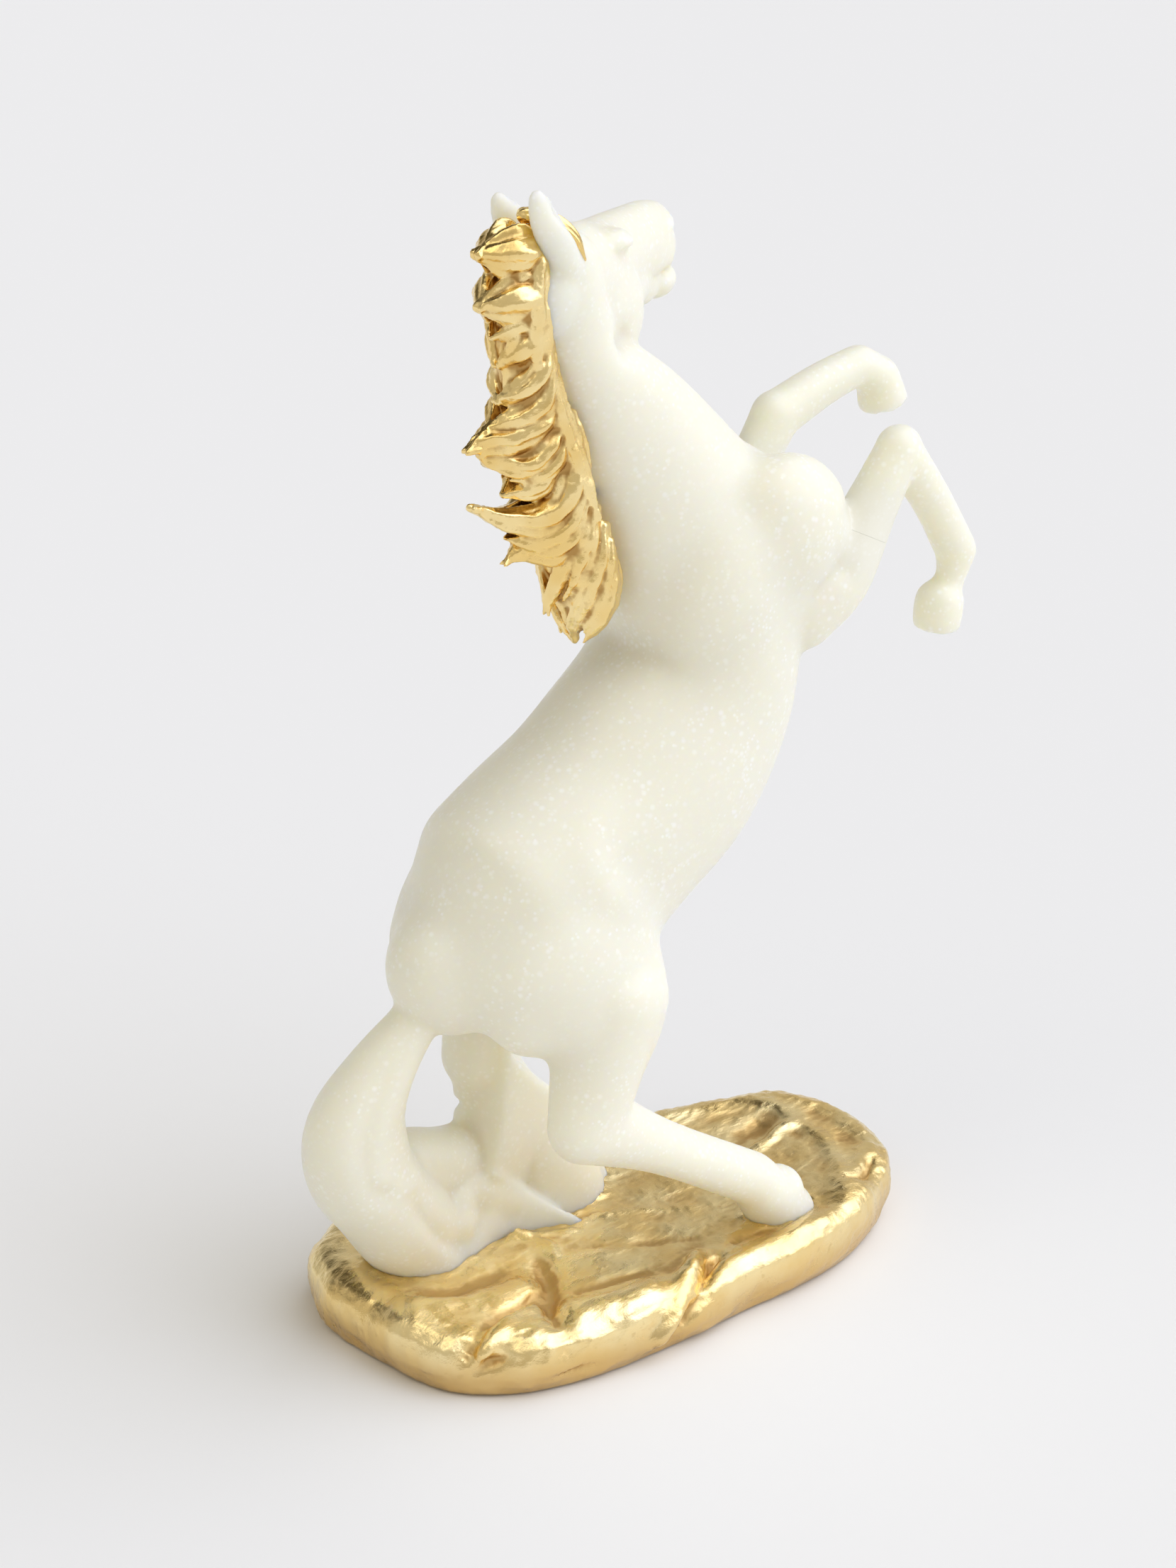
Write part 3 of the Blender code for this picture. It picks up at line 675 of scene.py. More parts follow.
# Each lock: half thickness, turn of its strands, and its path; the first two run down the
# ridge, and the others run from the neck to their tips.
MANE_LOCKS = [
    (3.3, 1.6, [(-27.5, -4.6, 248), (-29.4, -5.6, 241), (-30, -6, 233), (-29, -6.4, 224), (-25.5, -7, 214)]),
    (2.2, 1.2, [
        (-27, -6.8, 222), (-24.5, -7.2, 213), (-21.5, -7.6, 204),
        (-18.6, -8.4, 196), (-15.6, -9, 188),
    ]),
    (5.0, 0.5, [(-27.5, -3.5, 246), (-33.5, -3.5, 247), (-41, 0, 247.6)]),
    (2.2, 1.2, [(-29, -5, 243), (-33, -4.5, 242), (-36, -1, 242.5)]),
    (5.2, 0.6, [(-27.5, -4, 238), (-34, -4.2, 237.4), (-40.6, 0, 236.2)]),
    (2.4, 1.2, [(-28.5, -5.5, 232.5), (-33, -5, 232), (-37.5, -1, 229.5)]),
    (3.6, 0.8, [(-28, -5, 231), (-32, -5, 227.5), (-36, -1.5, 223.5)]),
    (3.0, 1.0, [(-27, -6, 228), (-29, -6.3, 222), (-33, -4.5, 218), (-36.5, 0, 216)]),
    (3.4, 0.8, [(-26.5, -6, 223), (-28, -6.3, 216), (-33, -4.5, 212.5), (-39.5, 0, 210.5)]),
    (1.5, 1.0, [(-25.5, -7, 219), (-28, -7, 213.5), (-33, -5, 210.5), (-38.5, 0, 210)]),
    (3.0, 1.0, [(-25.5, -5.6, 216), (-28.5, -6, 211), (-34.5, -4, 208.6), (-40, -1, 208), (-44.5, 0, 207)]),
    (2.4, 1.2, [(-24, -6.4, 211), (-27, -6.6, 205.5), (-32, -5, 202.5), (-37, -2, 203.5), (-41, 0, 205.5)]),
    (1.6, 1.2, [(-23.5, -7, 209), (-25.5, -7.2, 202.5), (-29.5, -6, 199.5), (-34, -2, 199)]),
    (2.6, 1.0, [(-24, -5.5, 204), (-28.5, -5, 197.5), (-35, -1, 195.5)]),
    (3.6, 1.0, [
        (-22, -6, 211), (-20.5, -6.6, 202), (-22, -6.5, 194),
        (-27, -4.6, 189.6), (-34, -2, 190.4), (-43, 0, 194.8),
    ]),
    (1.5, 1.2, [(-22.5, -7, 206), (-21.5, -7.4, 199), (-24, -7, 193.5), (-30, -5, 190.5), (-37, 0, 192)]),
    (2.6, 1.2, [
        (-19.5, -6.6, 202), (-19, -7, 195), (-21.5, -6.5, 187.5),
        (-27, -4.5, 184.6), (-34, -1.5, 186),
    ]),
    (1.4, 1.0, [(-18.6, -7.8, 199), (-18.4, -8, 192), (-21, -7.2, 185.5), (-26, -5, 182.5), (-31, -1, 183)]),
    (2.6, 1.0, [(-18, -6.5, 196), (-19, -6.8, 188), (-24, -5, 182), (-30, -2, 182.5), (-35, 0, 180.5)]),
    (2.7, 0.8, [
        (-17.5, -6.5, 193), (-18.5, -6.8, 186), (-20.4, -4.6, 179),
        (-21.8, -2, 172), (-23.4, 0, 166.4),
    ]),
    (1.4, 0.8, [(-16.5, -8, 192), (-17.6, -8.2, 184), (-20, -7, 176.5), (-21.5, -4, 170)]),
    (2.6, 0.8, [(-15.5, -6.8, 190), (-16.6, -7.3, 182), (-18.2, -5.6, 174), (-19.4, -1, 166.4)]),
    (2.8, 0.8, [
        (-13.8, -7.5, 186), (-14.8, -8, 179), (-16.4, -6.6, 171.5),
        (-17.0, -3, 164), (-15.6, -1, 158.5),
    ]),
    (1.4, 0.8, [(-12.6, -9, 183), (-13.2, -9.4, 176), (-14.8, -8.4, 169), (-17, -5, 162)]),
    (2.6, 0.8, [(-12.2, -7.6, 180), (-12.2, -8.4, 172.5), (-13.8, -7.4, 165.5), (-16.4, -4.5, 159.5)]),
]


def add_lock(clay, thick, turn, path, left):
    """One lock on one side, thickest in the middle and drawn out to a blunt tip."""
    rows = []
    last = len(path) - 1
    for number, (x, y, z) in enumerate(path):
        share = number / last
        swell = thick * (0.7 + 0.4 * math.sin(math.pi * share) - 0.5 * share**3)
        rows.append((x, y if left < 0 else -y - 1.5, z, swell, swell * 0.66))
    clay.limb(rows, per_span=8, around=60, strands=4, twist=2.4 * turn * left, groove=0.15)


def add_mane(clay):
    clay.limb(MANE_CREST, strands=7, twist=5.0, groove=0.05, around=60, per_span=8)
    for thick, turn, path in MANE_LOCKS:
        for left in (-1, 1):
            add_lock(clay, thick, turn, path, left)


def add_forelock(clay):
    """The tuft that starts between the ears and falls down the forehead."""
    rows = [
        (-28.0, 0, 253.2, 1.6, 1.8),
        (-25.5, -1, 252.6, 1.9, 2.2),
        (-22.0, -3, 250.6, 1.9, 2.2),
        (-19.6, -5, 247.6, 1.6, 2.0),
        (-18.2, -6.4, 243.6, 0.8, 1.1),
    ]
    clay.limb(rows, per_span=8, around=60, strands=5, twist=2.5, groove=0.13)


# ---------------------------------------------------------------- base

OUTLINE = [
    (-70, -1),
    (-66.5, -18),
    (-53.5, -29.5),
    (-32, -35),
    (0, -35.5),
    (34, -34.5),
    (55, -26),
    (67, -14),
    (70.5, 3),
    (66, 17.5),
    (47, 24.8),
    (20, 30.5),
    (-15, 38),
    (-45, 39),
    (-62, 34),
    (-71, 18),
]
# Share of the outline, outward bulge and height of each ring, from the underside to the middle of the top.
BASE_PROFILE = [
    (1.00, 0.0, 0.5),
    (1.00, 1.6, 3.0),
    (1.00, 2.6, 6.0),
    (1.00, 2.6, 9.0),
    (1.00, 1.8, 12.0),
    (1.00, -1.0, 14.1),
    (1.00, -5.0, 14.8),
    (0.85, -4.0, 14.0),
    (0.70, -3.0, 13.4),
    (0.55, -2.0, 13.2),
    (0.38, -1.0, 13.2),
    (0.20, 0.0, 13.2),
    (0.08, 0.0, 13.2),
]
BASE_UNDERSIDE = 0.5
BASE_AROUND = 80
ROCK_COARSE = 2.0
ROCK_FINE = 0.5

# Width, height and path of each fold and crease in the rock.
ROCK_STROKES = [
    # wall behind the tail and the rolled fold in front of it
    (6.0, 1.0, [(-58, 33, 13), (-64, 25, 13), (-68, 13, 13), (-67, 1, 13)]),
    (4.8, 2.3, [(-67, -4, 14), (-61, -8, 15), (-53, -10.5, 15), (-44, -11, 15), (-37, -10, 15)]),
    (3.2, -0.8, [(-62, -1, 14), (-53, -4, 14), (-44, -4, 14), (-37, -3, 14)]),
    # deep notch in the right side, with the creases that run into it
    (2.5, -3.0, [(-30, -6, 14), (-34, -14, 14), (-40, -21, 14), (-44, -28, 13), (-46, -33, 10)]),
    (2.2, -2.4, [(-37, -16, 14), (-47, -18, 14), (-57, -20, 13), (-66, -23, 10)]),
    (1.8, 2.0, [(-42, -20, 14), (-50, -22, 14), (-58, -24, 13), (-66, -26, 10)]),
    (1.4, -2.0, [(-44, -29, 12), (-52, -27, 12), (-60, -27, 10), (-66, -25, 7)]),
    (0.9, -0.9, [(-69, -15, 5), (-61, -24, 5), (-50, -32, 5), (-38, -37, 5)]),
    # mound beside the notch
    (5.0, 1.8, [(-41, -27, 14), (-34, -30, 14), (-26, -32, 14), (-17, -33, 14)]),
    (2.6, -0.9, [(-34, -19, 14), (-24, -22, 14), (-13, -25, 14)]),
    # soft creases in the top
    (1.6, 0.9, [(-28, 6, 14), (-24, -1, 14), (-27, -7, 14)]),
    (1.8, -0.6, [(-18, -8, 14), (-6, -14, 14), (6, -20, 14)]),
    (1.4, 0.6, [(-12, 3, 14), (2, -2, 14), (13, -9, 14)]),
    (1.6, 0.6, [(20, 10, 14), (30, 4, 14), (38, -4, 14)]),
    # ridge across the far end, and the facets beside it
    (2.2, 0.9, [
        (54, 20, 14), (58, 11, 13), (57, 3, 13), (57, -5, 13),
        (54, -12, 13), (48, -21, 14), (40, -31, 13),
    ]),
    (1.5, 1.2, [(40, 1, 14), (47, 2, 14), (52, 4, 14), (56, 3, 14)]),
    (2.6, -0.9, [(38, 6, 14), (46, 8, 14), (52, 9, 14)]),
    (1.3, -1.3, [(60, -20, 14), (52, -25, 14), (46, -24, 15)]),
    (2.8, -1.0, [(64, 8, 13), (64, -2, 13), (61, -11, 13)]),
    # the slanting fold near the middle of the right side
    (1.9, 2.3, [(-1, -26, 14), (-7, -31, 14.5), (-14, -35, 13), (-20, -38, 9), (-25, -38, 5)]),
    (1.6, -2.4, [(2, -30, 14), (-4, -34, 14), (-11, -37, 11), (-18, -39, 7)]),
    (3.4, 1.5, [(-8, -36, 12), (2, -35, 13.5), (13, -35, 14), (24, -35, 14), (36, -34, 13), (46, -30, 12)]),
    (3.2, -1.1, [(7, -28, 14), (20, -29, 14), (34, -28, 14)]),
    # lip along the splash of the tail
    (1.2, 1.7, [(-31, 6, 14), (-26, 5, 14.5), (-21, 2.5, 14.5), (-15, -1, 14)]),
]
# Grain of the pattern, height of the soft dents and height of the wrinkles in the leaf.
ROCK_CRUMPLE = (1.0, 0.42, 0.16)
MANE_CRUMPLE = (0.5, 0.42, 0.07)
FOOT_LIP_REACH = 1.8
FOOT_LIP_HEIGHT = 0.7


def outline_at(steps):
    """The base outline at equal steps round it, as points in plan."""
    closed = OUTLINE[-2:] + OUTLINE + OUTLINE[:2]
    rows = spline(closed, 12)[24 : 24 + 12 * len(OUTLINE) + 1]
    travelled = np.concatenate([[0], np.cumsum(np.linalg.norm(np.diff(rows, axis=0), axis=1))])
    wanted = np.arange(steps) / steps * travelled[-1]
    return np.stack([np.interp(wanted, travelled, rows[:, k]) for k in range(2)], axis=1)


def rock_shell():
    plan = outline_at(BASE_AROUND)
    outward = plan / np.linalg.norm(plan, axis=1)[:, None]
    clay = Clay()
    rings = []
    for share, bulge, height in BASE_PROFILE:
        ring = []
        for spot, out in zip(plan, outward):
            x, y = spot * share + out * bulge
            place = Vector((x, y, height))
            rough = 0.0 if height <= BASE_UNDERSIDE else 1.0
            coarse = noise.noise(place / 17.0) * ROCK_COARSE * rough
            fine = noise.noise(place / 6.0 + Vector((7, 3, 1))) * ROCK_FINE * rough
            lift = (coarse + fine) * (0.4 if share < 1 else 0.8)
            x += out[0] * (coarse + fine) * share
            y += out[1] * (coarse + fine) * share
            ring.append(np.array([x, y, height + (lift if height > 10 else 0.0)]))
        rings.append(ring)
    clay.ring_stack(rings)
    return clay


def crumpled(obj, grain, dents, folds):
    """Leaf laid over a rough casting: soft dents, long wrinkles and small sharp creases."""
    places, normals = surface_of(obj)
    push = np.empty(len(places))
    for number, (x, y, z) in enumerate(places / grain):
        dent = noise.noise(Vector((x / 9, y / 7, z / 6)))
        long_wrinkle = 1 - abs(noise.noise(Vector((x / 7 + y / 9, y / 2.6 - x / 12, z / 4 + 5)))) * 3
        crease = 1 - abs(noise.noise(Vector((x / 3.1 + 9, y / 2.7, z / 2.2)))) * 4
        push[number] = dents * dent + folds * (max(long_wrinkle, 0) + max(crease, 0) * 0.7)
    firm = np.clip((places[:, 2] - BASE_UNDERSIDE) / 1.5, 0, 1)
    reshape(obj, places + normals * (push * firm)[:, None])


def lipped(obj, foot):
    """The leaf stands up in a ragged lip where it meets the castings."""
    tree = BVHTree.FromObject(foot, bpy.context.evaluated_depsgraph_get())
    places, normals = surface_of(obj)
    for number, place in enumerate(places):
        if place[2] < 10:
            continue
        found = tree.find_nearest(Vector(place) * MM, FOOT_LIP_REACH * MM)
        if found[0] is None:
            continue
        ragged = 0.6 + 0.8 * noise.noise(Vector(place) / 1.7)
        near = 1 - found[3] / (FOOT_LIP_REACH * MM)
        places[number, 2] += FOOT_LIP_HEIGHT * near * max(ragged, 0.1)
    reshape(obj, places)


def rock_base(castings):
    obj = fused("rock", rock_shell(), ROCK_VOXEL, ROCK_SMOOTHING)
    carve(obj, ROCK_STROKES)
    crumpled(obj, *ROCK_CRUMPLE)
    lipped(obj, castings)
    return obj


# ---------------------------------------------------------------- fits

SOCKET_FLOOR = 9.0
PAD_SHARE = 0.86
RECESS_CEILING = 1.8
COUNTERBORE_RADIUS = 4.6
COUNTERBORE_TOP = 6.8
# Where each foreleg is pinned on: a spot on the seam, the way the forearm runs, and the
# forward distance past which everything belongs to the foreleg.
FORELEG_SEAMS = {
    "right_foreleg": ((51, -18, 172), (0.47, 0.0, 0.88), 64),
    "left_foreleg": ((51, 18, 174), (0.5, 0.0, 0.87), 70),
}
# The box that holds a foreleg: its length, how far it goes behind and in front of the
# seam spot, and half its width.
FORELEG_BOX = (80.0, 7, 60, 12)
DOWEL_REACH = 8.4
DOWEL_BORE_RADIUS = 1.3
ROD_BORE_RADIUS = 1.8
MANE_DOWELS = (((-34.4, -1, 236), (-18.6, -1, 236)), ((-25.4, -2, 192), (-7.6, -2, 192)))
RODS = ("right_hind_rod", "left_hind_rod", "tail_rod")


def beyond_seam(spot, along, front, gap):
    """Everything that belongs to one foreleg: past the seam, or past the front line."""
    side = np.array([0.0, 1.0, 0.0])
    across = np.cross(side, along)
    length, rear, ahead, half = FORELEG_BOX
    corners = []
    for reach in (gap, length):
        for u, v in ((-rear, -half), (ahead, -half), (ahead, half), (-rear, half)):
            corners.append(spot + along * reach + across * u + side * v)
    clay = Clay()
    clay.ring_stack([corners[:4], corners[4:]])
    box = mesh_object("beyond", clay.points, clay.faces)
    reach = 14 if spot[1] > 0 else -14
    low, high = sorted((spot[1] - reach, spot[1] + reach))
    forward = block("forward", (front, low, 120), (130, high, 230))
    return combined(box, "UNION", forward)


def split_forelegs(body):
    legs = {}
    for name, (spot, along, front) in FORELEG_SEAMS.items():
        spot, along = np.array(spot, float), np.array(along) / np.linalg.norm(along)
        leg = combined(copy_of(body, name), "INTERSECT", beyond_seam(spot, along, front, SEAM_GAP / 2))
        combined(body, "DIFFERENCE", beyond_seam(spot, along, front, -SEAM_GAP / 2))
        for piece in (leg, body):
            bore = rod("bore", spot - along * DOWEL_REACH, spot + along * DOWEL_REACH, DOWEL_BORE_RADIUS)
            combined(piece, "DIFFERENCE", bore)
        legs[name] = leg
    return legs


def rod_place(name):
    """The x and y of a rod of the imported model, and the height of its top."""
    low, high = (np.array(corner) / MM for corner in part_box(name))
    x, y = (low[:2] + high[:2]) / 2
    return x, y, high[2]


def bored_for_rods(obj, floor):
    """A bore for each rod, from this floor to just above the rod."""
    for name in RODS:
        x, y, top = rod_place(name)
        combined(obj, "DIFFERENCE", rod("bore", (x, y, floor), (x, y, top + BORE_PLAY), ROD_BORE_RADIUS))


def hollowed_underneath(obj):
    """The recess of the felt pad, and a counterbore for each nut and washer."""
    plan = outline_at(BASE_AROUND // 2) * PAD_SHARE
    plan += plan / np.linalg.norm(plan, axis=1)[:, None] * BORE_PLAY
    clay = Clay()
    clay.ring_stack([[np.array([x, y, z]) for x, y in plan] for z in (-1.0, RECESS_CEILING)])
    combined(obj, "DIFFERENCE", mesh_object("recess", clay.points, clay.faces))
    for name in RODS:
        x, y, _ = rod_place(name)
        well = rod("counterbore", (x, y, 1.0), (x, y, COUNTERBORE_TOP), COUNTERBORE_RADIUS, 48)
        combined(obj, "DIFFERENCE", well)


# ---------------------------------------------------------------- materials


class Finish:
    """A Principled material whose inputs are driven by nodes; scales are per metre."""

    def __init__(self, name):
        self.material = bpy.data.materials.new(name)
        self.material.use_nodes = True
        self.tree = self.material.node_tree
        self.shader = self.tree.nodes["Principled BSDF"]
        self.place = self.tree.nodes.new("ShaderNodeTexCoord").outputs["Object"]

    def node(self, kind, settings=None, **inputs):
        made = self.tree.nodes.new(kind)
        for name, value in (settings or {}).items():
            setattr(made, name, value)
        for name, value in inputs.items():
            self.feed(made.inputs[name.replace("_", " ")], value)
        return made

    def feed(self, socket, value):
        if isinstance(value, bpy.types.NodeSocket):
            self.tree.links.new(value, socket)
        else:
            socket.default_value = value

    def set(self, **inputs):
        for name, value in inputs.items():
            self.feed(self.shader.inputs[name.replace("_", " ")], value)

    def stretched(self, scale):
        made = self.node("ShaderNodeMapping", Vector=self.place)
        made.inputs["Scale"].default_value = scale
        return made.outputs["Vector"]

    def noise(self, scale, detail=3.0, place=None, roughness=0.5):
        place = place or self.place
        made = self.node("ShaderNodeTexNoise", Vector=place, Scale=scale, Detail=detail, Roughness=roughness)
        return made.outputs["Fac"]

    def cells(self, scale, feature="F1"):
        made = self.node("ShaderNodeTexVoronoi", {"feature": feature}, Vector=self.place, Scale=scale)
        return made.outputs

    def ramp(self, value, low, high, start=0.0, end=1.0):
        """start below low, end above high, smooth in between."""
        made = self.node("ShaderNodeMapRange", {"interpolation_type": "SMOOTHSTEP"}, Value=value)
        for name, number in (("From Min", low), ("From Max", high), ("To Min", start), ("To Max", end)):
            made.inputs[name].default_value = number
        return made.outputs["Result"]

    def combine(self, operation, a, b):
        made = self.node("ShaderNodeMath", {"operation": operation})
        self.feed(made.inputs[0], a)
        self.feed(made.inputs[1], b)
        return made.outputs[0]

    def blend(self, share, first, second):
        made = self.node("ShaderNodeMix", {"data_type": "RGBA"})
        self.feed(made.inputs[0], share)
        self.feed(made.inputs[6], first)
        self.feed(made.inputs[7], second)
        return made.outputs[2]

    def attribute(self, name):
        return self.node("ShaderNodeAttribute", {"attribute_name": name}).outputs["Fac"]

    def bump(self, height, strength, distance):
        made = self.node("ShaderNodeBump", Height=height, Strength=strength, Distance=distance)
        return made.outputs["Normal"]


def resin():
    """Pale stone-resin: milky, waxy, with white flecks just under the skin.

    Light can't cross from one piece to the next, so the glow fades out at the foreleg
    seams, which would show as dark lines otherwise.
    """
    made = Finish("cast_resin")
    flecks = None
    for scale, amount in ((540, 0.6), (900, 0.7)):
        cells = made.cells(scale)
        speck = made.ramp(cells["Distance"], 0.12, 0.46, 1.0, 0.0)
        picked = made.ramp(made.combine("MULTIPLY", cells["Color"], 1.0), 0.35, 0.8, 0.0, amount)
        layer = made.combine("MULTIPLY", speck, picked)
        flecks = layer if flecks is None else made.combine("MAXIMUM", flecks, layer)
    drift = made.ramp(made.noise(55, 2), 0.36, 0.58, 0.25, 1.0)
    flecks = made.combine("MULTIPLY", flecks, drift)
    # Painted shade: the resin turns darker and yellower in its hollows and creases.
    hollow = made.ramp(made.attribute("hollow"), 0.2, 1.0, 0.0, 0.6)
    body = made.blend(hollow, (0.87, 0.85, 0.725, 1), (0.80, 0.76, 0.60, 1))
    colour = made.blend(flecks, body, (0.97, 0.97, 0.93, 1))
    # Painted shade: greyer towards the rock, standing in for the shaded, see-through thin resin there.
    depth = made.node("ShaderNodeSeparateXYZ", Vector=made.place).outputs["Z"]
    colour = made.blend(made.ramp(depth, 0.011, 0.024, 0.45, 0.0), colour, (0.60, 0.61, 0.62, 1))
    glow = None
    for spot, _, _ in FORELEG_SEAMS.values():
        away = made.node("ShaderNodeVectorMath", {"operation": "DISTANCE"}, Vector=made.place)
        away.inputs[1].default_value = [v * MM for v in spot]
        share = made.ramp(away.outputs["Value"], 0.0075, 0.015, 0.0, 0.9)
        glow = share if glow is None else made.combine("MINIMUM", glow, share)
    made.set(
        Base_Color=colour,
        Roughness=made.ramp(made.noise(300, 2), 0.3, 0.7, 0.30, 0.42),
        IOR=1.48,
        Normal=made.bump(made.noise(260, 3), 0.12, 0.0004),
        Subsurface_Weight=glow,
        Subsurface_Scale=0.008,
    )
    made.shader.inputs["Subsurface Radius"].default_value = (1.0, 0.85, 0.5)
    return made.material


# Leaf: roughness where it lies flat and on the ridges, its wrinkle, two tones of gold, and
# the painted shade it takes in hollows and low down, where it stands for the shadowed floor it reflects.
MANE_LEAF = (0.30, 0.14, 0.2, (0.92, 0.66, 0.25, 1), (1.0, 0.80, 0.40, 1), (0.48, 0.28, 0.09, 1))
ROCK_LEAF = (0.46, 0.20, 0.35, (0.92, 0.68, 0.29, 1), (1.0, 0.83, 0.46, 1), (0.64, 0.43, 0.17, 1))


def gold_leaf(name, leaf):
    """Metal leaf: satin where it lies flat and burnished on the ridges."""
    satin, burnished, wrinkle, deep, pale, painted_shade = leaf
    made = Finish(name)
    hollow = made.attribute("hollow")
    tone = made.blend(made.ramp(made.noise(90, 4), 0.3, 0.7), deep, pale)
    # Painted shade: the leaf darkens in its hollows and creases.
    tone = made.blend(made.ramp(hollow, 0.0, 0.7), tone, painted_shade)
    # Painted reflection: the leaf darkens towards the table, standing in for the shadowed floor it reflects.
    height = made.node("ShaderNodeSeparateXYZ", Vector=made.place).outputs["Z"]
    tone = made.blend(made.ramp(height, 0.004, 0.0125, 0.75, 0.0), tone, painted_shade)
    worn = made.ramp(made.noise(420, 3), 0.62, 0.72, 0.0, 0.35)
    tone = made.blend(worn, tone, (0.62, 0.42, 0.17, 1))
    streak = made.noise(260, 4, made.stretched((1.0, 3.5, 2.0)), 0.6)
    raised = made.combine("SUBTRACT", made.combine("MULTIPLY", streak, 0.6), hollow)
    shine = made.ramp(raised, 0.1, 0.75, satin, burnished)
    crackle = made.noise(900, 5, roughness=0.65)
    crackle = made.combine("MULTIPLY", crackle, 0.5)
    relief = made.combine("ADD", made.combine("MULTIPLY", streak, 0.7), crackle)
    made.set(
        Base_Color=tone,
        Metallic=1.0,
        Roughness=shine,
        Normal=made.bump(relief, wrinkle, 0.0006),
    )
    return made.material


def steel():
    made = Finish("brushed_steel")
    brushed = made.noise(1500, 2, made.stretched((1.0, 1.0, 0.05)))
    made.set(
        Base_Color=made.blend(brushed, (0.48, 0.49, 0.50, 1), (0.66, 0.67, 0.68, 1)),
        Metallic=1.0,
        Roughness=made.ramp(brushed, 0.3, 0.7, 0.25, 0.42),
        Normal=made.bump(brushed, 0.2, 0.0001),
    )
    return made.material


def felt():
    made = Finish("felt")
    fibre = made.noise(2600, 6, roughness=0.8)
    made.set(
        Base_Color=made.blend(fibre, (0.05, 0.05, 0.045, 1), (0.17, 0.165, 0.15, 1)),
        Roughness=0.95,
        Sheen_Weight=0.5,
        Normal=made.bump(fibre, 0.7, 0.0004),
    )
    return made.material


# ---------------------------------------------------------------- studio

CAMERA_SIDE = -40
CAMERA_HEIGHT = 24
CAMERA_DISTANCE = 0.8
CAMERA_TARGET = Vector((-0.013, -0.002, 0.125))
LENS = 85
BACKDROP = 0.847
FLOOR_WHITE = (0.895, 0.89, 0.875, 1)


def camera():
    a, e = math.radians(CAMERA_SIDE), math.radians(CAMERA_HEIGHT)
    back = Vector((math.sin(a) * math.cos(e), -math.cos(a) * math.cos(e), math.sin(e)))
    data = bpy.data.cameras.new("camera")
    data.lens = LENS
    data.sensor_width = 36
    data.clip_start = 0.01
    obj = bpy.data.objects.new("camera", data)
    obj.location = CAMERA_TARGET + back * CAMERA_DISTANCE
    obj.rotation_euler = (-back).to_track_quat("-Z", "Y").to_euler()
    bpy.context.scene.collection.objects.link(obj)
    bpy.context.scene.camera = obj


def facing(side, height):
    """The direction to something seen from the object at this bearing, 0 behind the camera's back."""
    a, e = math.radians(CAMERA_SIDE + side), math.radians(height)
    return (math.sin(a) * math.cos(e), -math.cos(a) * math.cos(e), math.sin(e))


# Soft boxes and dark corners of the studio: bearing from the camera, height, inner and
# outer half angle in degrees, and brightness.
STUDIO = [
    (0, 90, 20, 60, (1.06, 1.03, 0.96)),
    (-135, 56, 10, 46, (0.08, 0.07, 0.05)),
    (88, 42, 18, 52, (2.0, 2.08, 2.36)),
    (-45, 60, 6, 18, (1.6, 1.55, 1.4)),
]
AMBIENT = (0.57, 0.54, 0.475)


def studio_light():
    """A dome seen only by the object and the floor; the camera sees the plain backdrop."""
    world = bpy.data.worlds.new("studio")
    bpy.context.scene.world = world
    world.use_nodes = True
    tree = world.node_tree
    place = tree.nodes.new("ShaderNodeTexCoord").outputs["Generated"]
    light = None
    for side, height, inner, outer, glow in STUDIO:
        aim = tree.nodes.new("ShaderNodeVectorMath")
        aim.operation = "DOT_PRODUCT"
        tree.links.new(place, aim.inputs[0])
        aim.inputs[1].default_value = facing(side, height)
        edge = tree.nodes.new("ShaderNodeMapRange")
        edge.interpolation_type = "SMOOTHSTEP"
        edge.inputs["From Min"].default_value = math.cos(math.radians(outer))
        edge.inputs["From Max"].default_value = math.cos(math.radians(inner))
        tree.links.new(aim.outputs["Value"], edge.inputs["Value"])
        mix = tree.nodes.new("ShaderNodeMix")
        mix.data_type = "RGBA"
        tree.links.new(edge.outputs["Result"], mix.inputs[0])
        mix.inputs[6].default_value = (*AMBIENT, 1)
        mix.inputs[7].default_value = (*glow, 1)
        if light is not None:
            tree.links.new(light, mix.inputs[6])
        light = mix.outputs[2]
    dome = tree.nodes["Background"]
    tree.links.new(light, dome.inputs["Color"])
    plain = tree.nodes.new("ShaderNodeBackground")
    plain.inputs["Color"].default_value = (BACKDROP, BACKDROP, BACKDROP, 1)
    seen = tree.nodes.new("ShaderNodeLightPath").outputs["Is Camera Ray"]
    choice = tree.nodes.new("ShaderNodeMixShader")
    tree.links.new(seen, choice.inputs[0])
    tree.links.new(dome.outputs[0], choice.inputs[1])
    tree.links.new(plain.outputs[0], choice.inputs[2])
    tree.links.new(choice.outputs[0], tree.nodes["World Output"].inputs["Surface"])


def floor():
    size = 4000
    clay = Clay()
    clay.points = [(-size, -size, 0), (size, -size, 0), (size, size, 0), (-size, size, 0)]
    clay.faces = [(0, 1, 2, 3)]
    obj = mesh_object("floor", clay.points, clay.faces)
    made = Finish("paper")
    made.set(Base_Color=FLOOR_WHITE, Roughness=1.0, Specular_IOR_Level=0.0)
    obj.data.materials.append(made.material)


# ---------------------------------------------------------------- assembly


# Rounds of smoothing, and the depth that counts as a full hollow.
BODY_HOLLOWS = (60, 1.2)
MANE_HOLLOWS = (40, 0.5)
ROCK_HOLLOWS = (50, 0.7)


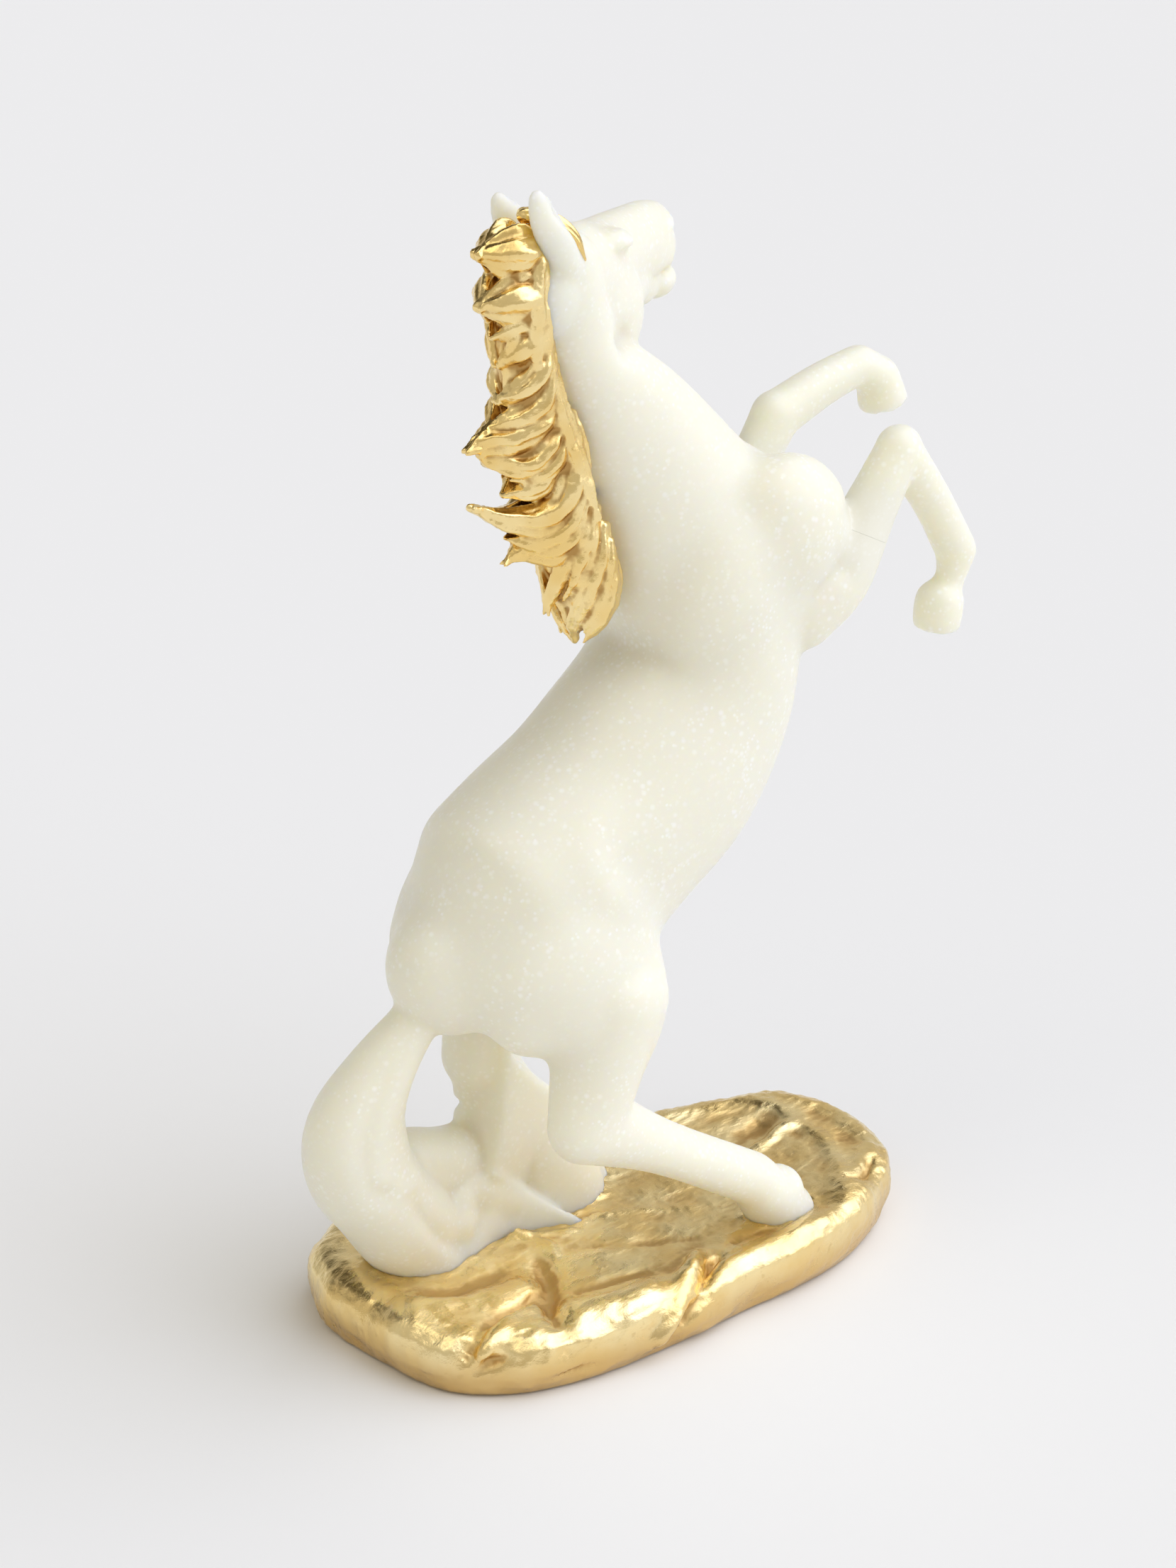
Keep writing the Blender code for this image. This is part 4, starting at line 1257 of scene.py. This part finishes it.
def finished(obj, material, node):
    """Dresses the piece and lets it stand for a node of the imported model."""
    obj.name = node + "_finish"
    obj.data.materials.clear()
    obj.data.materials.append(material)
    smooth_shaded(obj)
    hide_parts(node)
    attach(obj, "root")


body = horse()
combined(body, "DIFFERENCE", block("below", (-100, -60, -20), (100, 60, SOCKET_FLOOR)))
clearance = swollen(body, "clearance", SKIN_GAP)

mane_clay = Clay()
add_mane(mane_clay)
mane = fused("mane", mane_clay, MANE_VOXEL, LEAF_SMOOTHING)
crumpled(mane, *MANE_CRUMPLE)
combined(mane, "DIFFERENCE", clearance, keep_cutter=True)

forelock_clay = Clay()
add_forelock(forelock_clay)
forelock = fused("forelock", forelock_clay, FORELOCK_VOXEL, LEAF_SMOOTHING)
combined(forelock, "DIFFERENCE", clearance, keep_cutter=True)
combined(forelock, "DIFFERENCE", swollen(mane, "mane_clearance", SKIN_GAP))

rock = rock_base(body)
combined(rock, "DIFFERENCE", clearance)
hollowed_underneath(rock)
bored_for_rods(rock, 1.0)

bored_for_rods(body, SOCKET_FLOOR - 1.0)
for start, end in MANE_DOWELS:
    for piece in (mane, body):
        combined(piece, "DIFFERENCE", rod("bore", start, end, DOWEL_BORE_RADIUS))
mark_hollows(body, *BODY_HOLLOWS)
forelegs = split_forelegs(body)

resin_finish = resin()
finished(body, resin_finish, "body_casting")
for name, leg in forelegs.items():
    finished(leg, resin_finish, name)
mane_gold = gold_leaf("mane_gold_leaf", MANE_LEAF)
for piece, node in ((mane, "mane"), (forelock, "forelock")):
    mark_hollows(piece, *MANE_HOLLOWS)
    finished(piece, mane_gold, node)
mark_hollows(rock, *ROCK_HOLLOWS)
rock_gold = gold_leaf("base_gold_leaf", ROCK_LEAF)
finished(rock, rock_gold, "rock_base")

steel_finish, felt_finish = steel(), felt()
for name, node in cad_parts.items():
    if name == "felt_pad":
        node.data.materials[0] = felt_finish
    elif name.endswith(("_rod", "_washer", "_nut", "_dowel")):
        node.data.materials[0] = steel_finish

camera()
studio_light()
floor()
bpy.context.scene.view_settings.view_transform = "Standard"
